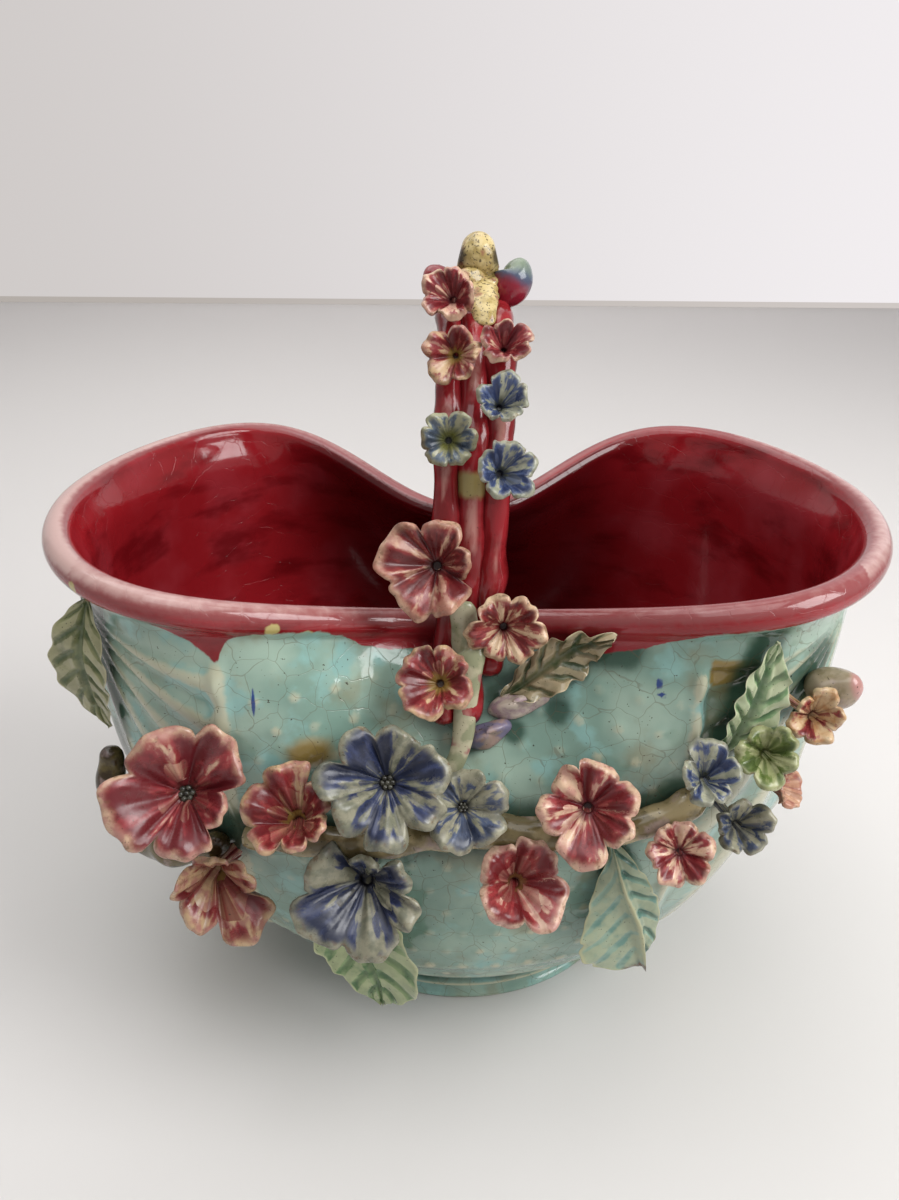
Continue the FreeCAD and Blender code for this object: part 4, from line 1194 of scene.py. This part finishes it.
# Each flower is its seat, its diameter and how far it stands off, its cup, where it faces in
# degrees sideways and up, its glaze, and its petals. Each petal is its direction in degrees,
# seen from the flower's front, and its reach as a share of the flower's radius.
WALL_FLOWERS = {
    "flower_wall_01": (234, 0.675, 0, 33.5, 12, 0.20, 38, 42, "crimson",
                       ((108, 1.0), (38, 1.0), (190, 1.1), (262, 0.9), (322, 0.6))),
    "flower_wall_02": (247, 0.645, 0, 25, 10, 0.35, -4, 45, "crimson_gold",
                       ((109, 1.15), (165, 1.1), (223, 0.9), (275, 0.6), (-15, 0.7), (40, 0.8))),
    "flower_wall_03": (235, 0.455, 0, 26, 11, 0.55, 38, 26, "crimson_gold",
                       ((15, 0.85), (95, 0.7), (160, 0.8), (236, 0.9), (305, 1.35))),
    "flower_wall_04": (258, 0.715, 0, 31, 10, 0.2, -6, 20, "cobalt",
                       ((75, 0.85), (10, 0.9), (-50, 1.0), (-88, 1.15), (215, 1.0), (178, 1.15),
                        (135, 0.95))),
    "flower_wall_05": (269.5, 0.66, 0, 22, 8, 0.2, 0, 17, "grey_cobalt",
                       ((70, 0.9), (20, 1.0), (-40, 1.0), (250, 1.0), (175, 0.95))),
    "flower_wall_06": (256, 0.505, 0, 29.5, 10, 0.35, 0, 25, "cobalt",
                       ((158, 1.05), (85, 0.55), (15, 0.8), (-28, 1.0), (-72, 1.15), (215, 1.2))),
    "flower_wall_07": (277.5, 0.525, 0, 22.5, 11.5, 0.25, 10, 35, "crimson_star",
                       ((130, 0.95), (48, 1.1), (-38, 1.1), (222, 0.95))),
    "flower_wall_08": (287, 0.665, 0, 25, 8, 0.2, -3, 28, "crimson_striped",
                       ((78, 0.95), (12, 1.0), (-25, 0.95), (270, 1.1), (195, 0.95), (140, 0.85))),
    "flower_wall_09": (298, 0.575, ON_BRANCH, 16.5, 4, 0.3, -27, 42, "crimson_striped",
                       ((85, 0.95), (25, 1.0), (-40, 1.0), (260, 1.0), (190, 0.95), (140, 0.9))),
    "flower_wall_10": (301.5, 0.715, 0, 16, 8, 0.45, -10, 46, "blue_cream",
                       ((80, 1.15), (15, 1.0), (-50, 0.8), (250, 0.8), (180, 0.8))),
    "flower_wall_11": (307, 0.585, 0, 15, 9, 0.45, -28, 44, "grey_cobalt",
                       ((85, 0.9), (20, 1.1), (-45, 1.0), (245, 0.9), (175, 0.8))),
    "flower_wall_12": (309, 0.75, 0, 15, 9, 0.4, -35, 42, "green",
                       ((50, 1.0), (-20, 0.9), (-75, 1.05), (190, 1.0), (115, 0.9))),
    "flower_wall_13": (316, 0.80, 0, 13.5, 9, 0.45, -45, 42, "crimson_tan",
                       ((70, 1.05), (0, 1.0), (-70, 1.0), (200, 1.0), (140, 0.8))),
    "flower_wall_14": (312.5, 0.655, 0, 12, 8, 0.7, 25, 30, "salmon",
                       ((40, 0.9), (-30, 1.1), (-90, 1.1), (180, 0.9), (110, 0.9))),
}
HANDLE_FLOWERS = {
    "flower_handle_1": (0.445, -6.0, 14.5, 5, 0.4, -9, -30, "crimson_striped",
                        ((70, 0.9), (10, 0.8), (215, 1.1), (160, 1.0), (270, 0.9))),
    "flower_handle_2": (0.38, -5.0, 12.8, 5, 0.4, -7, -22, "crimson_gold",
                        ((75, 1.0), (0, 0.95), (-55, 1.0), (230, 1.15), (155, 1.1))),
    "flower_handle_3": (0.39, 7.3, 12.2, 5, 0.5, 8, 0, "crimson",
                        ((90, 0.8), (20, 1.2), (-50, 1.0), (230, 1.1), (160, 1.1))),
    "flower_handle_4": (0.335, 6.0, 12.6, 5, 0.45, 0, 4, "blue_cream",
                        ((75, 1.2), (15, 1.1), (-50, 0.9), (230, 0.8), (150, 0.9))),
    "flower_handle_5": (0.302, -6.0, 13.8, 5, 0.25, 0, -7, "green_heart",
                        ((60, 1.0), (0, 1.0), (-55, 1.0), (235, 1.0), (175, 1.0), (120, 1.0))),
    "flower_handle_6": (0.274, 7.0, 14.2, 5, 0.5, 11, 6, "blue_cream",
                        ((65, 1.05), (5, 1.15), (-45, 1.2), (250, 0.9), (170, 0.9))),
    "flower_handle_7": (0.19, -8.4, 22.5, 6, 0.28, -5, 18, "crimson_dusk",
                        ((160, 1.2), (72, 0.95), (15, 0.75), (-70, 1.05), (246, 1.15))),
    "flower_handle_8": (0.122, 9.0, 18.6, 7, 0.25, 0, 7, "striped_cream",
                        ((105, 0.95), (50, 1.05), (-5, 1.05), (-58, 1.05), (250, 0.95), (200, 0.95))),
    "flower_handle_9": (0.04, -7.0, 17.6, 6, 0.35, -5, 0, "crimson_gold",
                        ((140, 1.15), (70, 0.95), (-38, 0.95), (247, 1.15))),
}
# Ground, blush on it, streak, pooled streak (also the painted shade in the grooves), heart, share inked, size
# of the heart, streaks round.
FINISHES = {
    "crimson": ("c4a389", "b07e72", "86222c", "561018", "3d1a14", 1.04, 0.16, 7.0),
    "crimson_star": ("cfae97", "b98b7e", "8a1f28", "5c0f15", "7a6134", 0.98, 0.22, 7.0),
    "crimson_gold": ("bfa17d", "a9776a", "84242c", "561116", "8f7a38", 0.80, 0.30, 8.0),
    "crimson_striped": ("d0b094", "bd8f80", "87202b", "5b1118", "5b2a30", 0.76, 0.20, 9.0),
    "crimson_tan": ("c8ad88", "b3895f", "8a2b35", "5a161b", "4c2414", 0.45, 0.22, 8.0),
    "crimson_dusk": ("bd987f", "a3705f", "7a1c22", "4a0b10", "2e0f14", 0.86, 0.16, 8.0),
    "striped_cream": ("d2b796", "c09a7e", "87202a", "551015", "4a1014", 0.66, 0.17, 11.0),
    "cobalt": ("8d8a76", "6f705f", "29345a", "12182c", "1b1c18", 0.74, 0.15, 9.0),
    "grey_cobalt": ("a09c86", "84836f", "43506e", "232a3c", "2a2b22", 0.52, 0.17, 8.0),
    "blue_cream": ("a5a48f", "8a8d7a", "3f4f78", "20294a", "33351c", 0.60, 0.26, 8.0),
    "green": ("a3a57c", "8a8f62", "5f7038", "3a4a22", "4b4f1e", 0.55, 0.24, 7.0),
    "green_heart": ("99987c", "85836a", "4c5a6c", "2c3544", "5f5f22", 0.50, 0.46, 7.0),
    "salmon": ("c99f82", "b98670", "a8685a", "7c4a3c", "96764c", 0.6, 0.24, 6.0),
}

BEADS = 6                     # stamens round the one in the middle
DOTTED_FLOWERS = ("flower_wall_01", "flower_wall_04", "flower_wall_05")


def tilted(normal, sideways, upward):
    """The axis of a flower that is turned away from its seat's normal, its side and its upward way."""
    side = UP.cross(normal).normalized()
    up = normal.cross(side)
    lean, rise = math.tan(math.radians(sideways)), math.tan(math.radians(upward))
    axis = (normal + side * lean + up * rise).normalized()
    side = UP.cross(axis).normalized()
    return axis, side, axis.cross(side)


def petal_at(petals, degree):
    """How far the petals reach at this angle, and where across its petal it lies (-1 to 1)."""
    order = sorted((direction % 360, reach) for direction, reach in petals)
    around = [(order[-1][0] - 360, order[-1][1])] + order + [(order[0][0] + 360, order[0][1])]
    degree %= 360
    for k in range(1, len(around) - 1):
        low = (around[k - 1][0] + around[k][0]) / 2
        high = (around[k][0] + around[k + 1][0]) / 2
        for at in (degree, degree - 360, degree + 360):
            if low <= at <= high:
                direction, reach = around[k]
                half = (direction - low) if at < direction else (high - direction)
                return reach, (at - direction) / max(half, 1e-6), k
    return 1.0, 0.0, 0


RUFFLE_REACH = 9.0            # a limb wider than this ruffles no more than one of this radius
PETAL_RIDGES = 1.7            # half waves of ridge and groove from a petal's middle to its side


def make_flower(name, seat, diameter, stand, cup, sideways, upward, petals, material, seed):
    """A trumpet of clay: a throat, a ridged and ruffled limb, its back and a neck down to the seat."""
    point, normal = seat
    radius = diameter / 2
    axis, side, up = tilted(normal, sideways, upward)
    base_side = UP.cross(normal).normalized()
    base_up = normal.cross(base_side)
    middle = point + normal * (stand + LUTING)
    deep = min(0.20 * radius, 0.22 * stand)
    funnel = min(0.46 * radius, 0.5 * stand)
    edge = 0.07 * radius + 0.45
    hole = 0.10 * radius
    ruffle = min(radius, RUFFLE_REACH)

    def wave(angle, pitch, shift):
        return noise.noise(Vector((math.cos(angle) * pitch, math.sin(angle) * pitch, seed + shift)))

    def front(angle, share):
        """The limb's front at this angle, from its throat (0) to its edge (1)."""
        reach, across, petal = petal_at(petals, math.degrees(angle))
        side_fall = abs(across)
        outline = radius * reach * (1 - 0.10 * side_fall ** 2 - 0.13 * side_fall ** 10)
        outline *= 1 + 0.16 * wave(angle, 1.3, 0) + 0.10 * wave(angle, 3.6, 3)
        out = hole + (outline - hole) * share
        ribs = PETAL_RIDGES + 0.6 * math.sin(5 * petal + seed)
        rib = math.cos(math.pi * across * ribs + 2.4 * wave(angle, 1.6, 8))
        rib *= 0.6 + 0.9 * abs(wave(angle, 2.2, 11))
        ridge = rib * (1 - side_fall ** 6) - side_fall ** 6
        swell = math.sin(math.pi * min(share * 1.02, 1.0)) ** 0.8
        lift = cup * radius * share ** 1.3 - funnel * (1 - share) ** 1.9
        lift += 0.10 * radius * (1 - across * across) * share ** 1.5
        lift += (0.05 * rib - 0.15 * side_fall ** 5) * radius * swell
        lift += (0.44 * wave(angle, 1.2, 5) + 0.26 * wave(angle, 2.6, 6)) * ruffle * share ** 2
        lift -= (0.16 + 0.26 * wave(angle, 1.0, 9)) * ruffle * max((share - 0.66) / 0.34, 0.0) ** 2
        return out, lift, ridge * min(share * 4, 1.0)

    def ring(angle):
        return side * math.cos(angle) + up * math.sin(angle)

    def place(u, v):
        angle = 2 * math.pi * u
        if v < 0.14:
            s = v / 0.14
            throat = front(angle, 0.0)[1]
            wide = hole * min(s * 2, 1.0) * (0.85 + 0.15 * s)
            low = deep * (1 - max(s * 2 - 1, 0.0) ** 1.5)
            return middle + axis * (throat - low) + ring(angle) * wide, 0.06 * s, 0.0, u
        if v < 0.60:
            s = (v - 0.14) / 0.46
            out, lift, ridge = front(angle, s)
            lift -= edge * 0.5 * max((s - 0.88) / 0.12, 0) ** 2
            return middle + ring(angle) * out + axis * lift, 0.06 + 0.94 * s, ridge, u
        if v < 0.66:
            out, lift, ridge = front(angle, 1.0)
            turn = math.pi * (v - 0.60) / 0.06
            under = edge * 0.5 + edge * 0.3 * (1 - math.cos(turn))
            out += 0.3 * edge * math.sin(turn)
            return middle + ring(angle) * out + axis * (lift - under), 1.0, ridge, u
        if v < 0.84:
            s = 1 - (v - 0.66) / 0.18
            out, lift, ridge = front(angle, 0.25 + 0.75 * s)
            out *= 0.62 + 0.38 * s
            return middle + ring(angle) * out + axis * (lift - edge * 1.1), 0.85, ridge, u
        s = (v - 0.84) / 0.16
        out, lift, ridge = front(angle, 0.25)
        top = middle + ring(angle) * (out * 0.62) + axis * (lift - edge * 1.1)
        foot_way = base_side * math.cos(angle) + base_up * math.sin(angle)
        base = point + normal * LUTING + foot_way * (0.19 * radius)
        blend = top.lerp(base, s)
        core = (middle - axis * (deep + funnel)).lerp(point, s)
        waist = 1 - 0.2 * math.sin(math.pi * s)
        return (core + (blend - core) * waist if 0 < s < 1 else blend, 0.85, ridge, u)

    return clay(name, 132, 56, place, ("reach", "ridge", "turned"), material)


def make_button(name, seat, diameter, stand, sideways, upward, material):
    """The cluster of stamens in a throat: small beads round one."""
    point, normal = seat
    radius = diameter / 2
    axis, side, up = tilted(normal, sideways, upward)
    funnel = min(0.46 * radius, 0.5 * stand)
    floor = point + normal * (stand + LUTING) - axis * (1.05 * funnel)
    bm = bmesh.new()
    for k in range(BEADS + 1):
        angle = 2 * math.pi * k / BEADS
        out = 0.085 * radius if k else 0.0
        place = floor + (side * math.cos(angle) + up * math.sin(angle)) * out + axis * (0.02 * radius)
        matrix = Matrix.Translation(place * MM) @ Matrix.Scale(0.05 * radius * MM, 4)
        bmesh.ops.create_icosphere(bm, subdivisions=2, radius=1.0, matrix=matrix)
    return fired(name, bm, material)


def flower_material(finish, name, seed):
    """This flower's own glaze, with its strokes in places of their own."""
    return flower_glaze("Majolica_" + finish + "_petal_glaze_" + name, *FINISHES[finish], seed=seed)


def make_wall_flowers():
    """The flowers on the bowl, three of them with their stamens."""
    dark = plain_glaze("Majolica_manganese_stamen_glaze", "26241f", "4b4a40", 1.0)
    for seed, (name, form) in enumerate(WALL_FLOWERS.items()):
        turn, rise, lift, diameter, stand, cup, sideways, upward, finish, petals = form
        point, normal = wall_seat(turn, rise)
        seat = (point + normal * lift, normal)
        piece = make_flower(name.capitalize(), seat, diameter, stand, cup, sideways, upward, petals,
                            flower_material(finish, name, 3.0 * seed), 3.0 * seed)
        stand_for(piece, name)
        if name in DOTTED_FLOWERS:
            button = make_button(name.replace("flower", "Button"), seat, diameter, stand, sideways,
                                 upward, dark)
            stand_for(button, name.replace("flower", "button"))


def make_handle_flowers():
    """The flowers up the handle, from the crown down."""
    for seed, (name, form) in enumerate(HANDLE_FLOWERS.items()):
        share, across, diameter, stand, cup, sideways, upward, finish, petals = form
        piece = make_flower(name.capitalize(), handle_seat(share, across), diameter, stand, cup, sideways,
                            upward, petals, flower_material(finish, name, 50 + 3.0 * seed), 50 + 3.0 * seed)
        stand_for(piece, name)


# ---- the stage --------------------------------------------------------------------------

CAMERA_PLACE = (-4.56, -251.75, 244.01)
CAMERA_PITCH = 27.01
CAMERA_ROLL = 0.43
CAMERA_LENS = 27.0
SIDEWAYS = 1500.0             # how far the table and the wall go to either side
TABLE_NEAR = 1200.0
WALL_AWAY = 1313.0
WALL_TOP = 2000.0
SEAM_SHADOW_HEIGHT = 9.0


def plain_sheet(name, corners, material):
    """A flat sheet of the surroundings."""
    bm = bmesh.new()
    bm.faces.new([bm.verts.new(Vector(corner) * MM) for corner in corners])
    in_scene(name, bm, material)


def upright(name, away, top, material):
    """A sheet that stands on the table, this far away."""
    corners = ((-SIDEWAYS, away, 0), (SIDEWAYS, away, 0), (SIDEWAYS, away, top), (-SIDEWAYS, away, top))
    plain_sheet(name, corners, material)


def make_stage():
    """The table, the wall with a painted shadow strip along its foot, the camera, the lights and the room."""
    plain_sheet("Table", ((-SIDEWAYS, -TABLE_NEAR, 0), (SIDEWAYS, -TABLE_NEAR, 0), (SIDEWAYS, WALL_AWAY, 0),
                          (-SIDEWAYS, WALL_AWAY, 0)), table_paint())
    upright("Wall", WALL_AWAY, WALL_TOP, wall_with_painted_light("Matt_white_wall_paint", "cfcac8", "f3eff1"))
    # a painted shadow: a dark strip where the wall meets the table
    upright("Seam", WALL_AWAY - 1, SEAM_SHADOW_HEIGHT, wall_with_painted_light("Grey_sealant", "b3aca6", "cfc8c4"))
    camera = bpy.data.cameras.new("Camera")
    camera.lens = CAMERA_LENS
    camera.sensor_width = 36.0
    camera.clip_start = 0.01
    holder = bpy.data.objects.new("Camera", camera)
    pitch, roll = math.radians(CAMERA_PITCH), math.radians(CAMERA_ROLL)
    ahead = Vector((0, math.cos(pitch), -math.sin(pitch)))
    level, raised = Vector((1, 0, 0)), Vector((0, math.sin(pitch), math.cos(pitch)))
    right = level * math.cos(roll) + raised * math.sin(roll)
    upward = raised * math.cos(roll) - level * math.sin(roll)
    turn = Matrix((right, upward, -ahead)).transposed()
    holder.matrix_world = Matrix.Translation(Vector(CAMERA_PLACE) * MM) @ turn.to_4x4()
    bpy.context.scene.collection.objects.link(holder)
    bpy.context.scene.camera = holder
    for name, place, aim, size, watts in (("Window", (700, -300, 700), (0, 0, 60), 0.6, 8.5),
                                          ("Ceiling", (-60, -260, 1150), (0, 0, 60), 0.9, 5.0),
                                          ("Far_table", (-200, 500, 900), (0, 700, 0), 0.9, 4.0)):
        light = bpy.data.lights.new(name, "AREA")
        light.size = size
        light.energy = watts
        lamp = bpy.data.objects.new(name, light)
        lamp.location = Vector(place) * MM
        lamp.rotation_euler = (Vector(aim) - Vector(place)).to_track_quat("-Z", "Y").to_euler()
        bpy.context.scene.collection.objects.link(lamp)
    world = bpy.data.worlds.new("Room")
    world.use_nodes = True
    world.node_tree.nodes["Background"].inputs["Color"].default_value = (1.0, 0.985, 0.97, 1.0)
    world.node_tree.nodes["Background"].inputs["Strength"].default_value = 0.36
    bpy.context.scene.world = world
    bpy.context.scene.view_settings.view_transform = "Standard"


# ---- the add-on -------------------------------------------------------------------------

class BasketSizes(bpy.types.PropertyGroup):
    """The sizes that a user would change."""
    relief: bpy.props.FloatProperty(
        name="Relief", description="How far the pressed relief stands out of the wall",
        default=RELIEF * MM, min=0.0, max=0.002, unit="LENGTH", subtype="DISTANCE")
    strand_diameter: bpy.props.FloatProperty(
        name="Strands", description="Thickness of the handle's rolled strands",
        default=STRAND_DIAMETER * MM, min=0.003, max=0.010, unit="LENGTH", subtype="DISTANCE")
    stem_diameter: bpy.props.FloatProperty(
        name="Stem", description="Width of the flattened stem below the handle",
        default=STEM_DIAMETER * MM, min=0.003, max=0.010, unit="LENGTH", subtype="DISTANCE")
    branch_diameter: bpy.props.FloatProperty(
        name="Branches", description="Thickness of the branches round the body",
        default=BRANCH_DIAMETER * MM, min=0.004, max=0.012, unit="LENGTH", subtype="DISTANCE")


class BasketColours(bpy.types.PropertyGroup):
    """The glazes' main colours, each as a linear colour."""
    turquoise: bpy.props.FloatVectorProperty(
        name="Turquoise", description="The outside's glaze where it lies thick", subtype="COLOR",
        default=hex_colour(TURQUOISE)[:3], min=0.0, max=1.0)
    bare_clay: bpy.props.FloatVectorProperty(
        name="Bare clay", description="The cream clay that shows where the glaze ran off", subtype="COLOR",
        default=hex_colour(BARE_CLAY)[:3], min=0.0, max=1.0)
    ruby: bpy.props.FloatVectorProperty(
        name="Ruby", description="The inside's glaze", subtype="COLOR",
        default=hex_colour(RUBY)[:3], min=0.0, max=1.0)
    cobalt: bpy.props.FloatVectorProperty(
        name="Cobalt", description="The stray marks of blue on the outside", subtype="COLOR",
        default=hex_colour(COBALT_BLUE)[:3], min=0.0, max=1.0)


class BASKET_OT_stage(bpy.types.Operator):
    """Sets the table, the wall, the light and the camera"""
    bl_idname = "basket.stage"
    bl_label = "Set the stage"

    def execute(self, context):
        make_stage()
        return {"FINISHED"}


class BASKET_OT_bowl(bpy.types.Operator):
    """Presses the bowl with its relief and its rolled rim"""
    bl_idname = "basket.bowl"
    bl_label = "Press the bowl"

    def execute(self, context):
        make_bowl(context.scene.basket_sizes, context.scene.basket_colours)
        return {"FINISHED"}


class BASKET_OT_foot(bpy.types.Operator):
    """Turns the foot under the bowl, in the bowl's own glaze"""
    bl_idname = "basket.foot"
    bl_label = "Turn the foot"

    def execute(self, context):
        make_foot()
        return {"FINISHED"}


class BASKET_OT_strands(bpy.types.Operator):
    """Bends the three strands of the handle over the bowl"""
    bl_idname = "basket.strands"
    bl_label = "Bend the strands"

    def execute(self, context):
        make_strands(context.scene.basket_sizes)
        return {"FINISHED"}


class BASKET_OT_knot(bpy.types.Operator):
    """Ties the knot over the crown of the handle"""
    bl_idname = "basket.knot"
    bl_label = "Tie the knot"

    def execute(self, context):
        make_knot()
        return {"FINISHED"}


class BASKET_OT_stem(bpy.types.Operator):
    """Presses the pale stem down the front of the handle"""
    bl_idname = "basket.stem"
    bl_label = "Press the stem"

    def execute(self, context):
        make_stem_piece(context.scene.basket_sizes)
        return {"FINISHED"}


class BASKET_OT_branches(bpy.types.Operator):
    """Lays the branches on the wall"""
    bl_idname = "basket.branches"
    bl_label = "Lay the branches"

    def execute(self, context):
        make_branches(context.scene.basket_sizes)
        return {"FINISHED"}


class BASKET_OT_leaves(bpy.types.Operator):
    """Lutes the five leaves on"""
    bl_idname = "basket.leaves"
    bl_label = "Lute the leaves"

    def execute(self, context):
        make_leaves()
        return {"FINISHED"}


class BASKET_OT_buds(bpy.types.Operator):
    """Lutes the buds and the sheath on"""
    bl_idname = "basket.buds"
    bl_label = "Lute the buds"

    def execute(self, context):
        make_buds()
        return {"FINISHED"}


class BASKET_OT_wall_flowers(bpy.types.Operator):
    """Sets the flowers and their stamens on the wall"""
    bl_idname = "basket.wall_flowers"
    bl_label = "Set the wall's flowers"

    def execute(self, context):
        make_wall_flowers()
        return {"FINISHED"}


class BASKET_OT_handle_flowers(bpy.types.Operator):
    """Sets the flowers up the front of the handle"""
    bl_idname = "basket.handle_flowers"
    bl_label = "Set the handle's flowers"

    def execute(self, context):
        make_handle_flowers()
        return {"FINISHED"}


OPERATORS = (BASKET_OT_stage, BASKET_OT_bowl, BASKET_OT_foot, BASKET_OT_strands, BASKET_OT_knot,
             BASKET_OT_stem, BASKET_OT_branches, BASKET_OT_leaves, BASKET_OT_buds,
             BASKET_OT_wall_flowers, BASKET_OT_handle_flowers)


class BASKET_PT_panel(bpy.types.Panel):
    """The basket's sizes, its colours, and its steps in the order in which it is made"""
    bl_label = "Flower basket"
    bl_idname = "BASKET_PT_panel"
    bl_space_type = "VIEW_3D"
    bl_region_type = "UI"
    bl_category = "Basket"

    def draw(self, context):
        for group in (context.scene.basket_sizes, context.scene.basket_colours):
            for name in type(group).__annotations__:
                self.layout.prop(group, name)
        for made in OPERATORS:
            self.layout.operator(made.bl_idname)


CLASSES = (BasketSizes, BasketColours) + OPERATORS + (BASKET_PT_panel,)


def register():
    for made in CLASSES:
        bpy.utils.register_class(made)
    bpy.types.Scene.basket_sizes = bpy.props.PointerProperty(type=BasketSizes)
    bpy.types.Scene.basket_colours = bpy.props.PointerProperty(type=BasketColours)


def unregister():
    del bpy.types.Scene.basket_colours
    del bpy.types.Scene.basket_sizes
    for made in reversed(CLASSES):
        bpy.utils.unregister_class(made)


def main():
    register()
    bpy.ops.basket.stage()
    bpy.ops.basket.bowl()
    bpy.ops.basket.foot()
    bpy.ops.basket.strands()
    bpy.ops.basket.knot()
    bpy.ops.basket.stem()
    bpy.ops.basket.branches()
    bpy.ops.basket.leaves()
    bpy.ops.basket.buds()
    bpy.ops.basket.wall_flowers()
    bpy.ops.basket.handle_flowers()


if __name__ == "__main__":
    main()
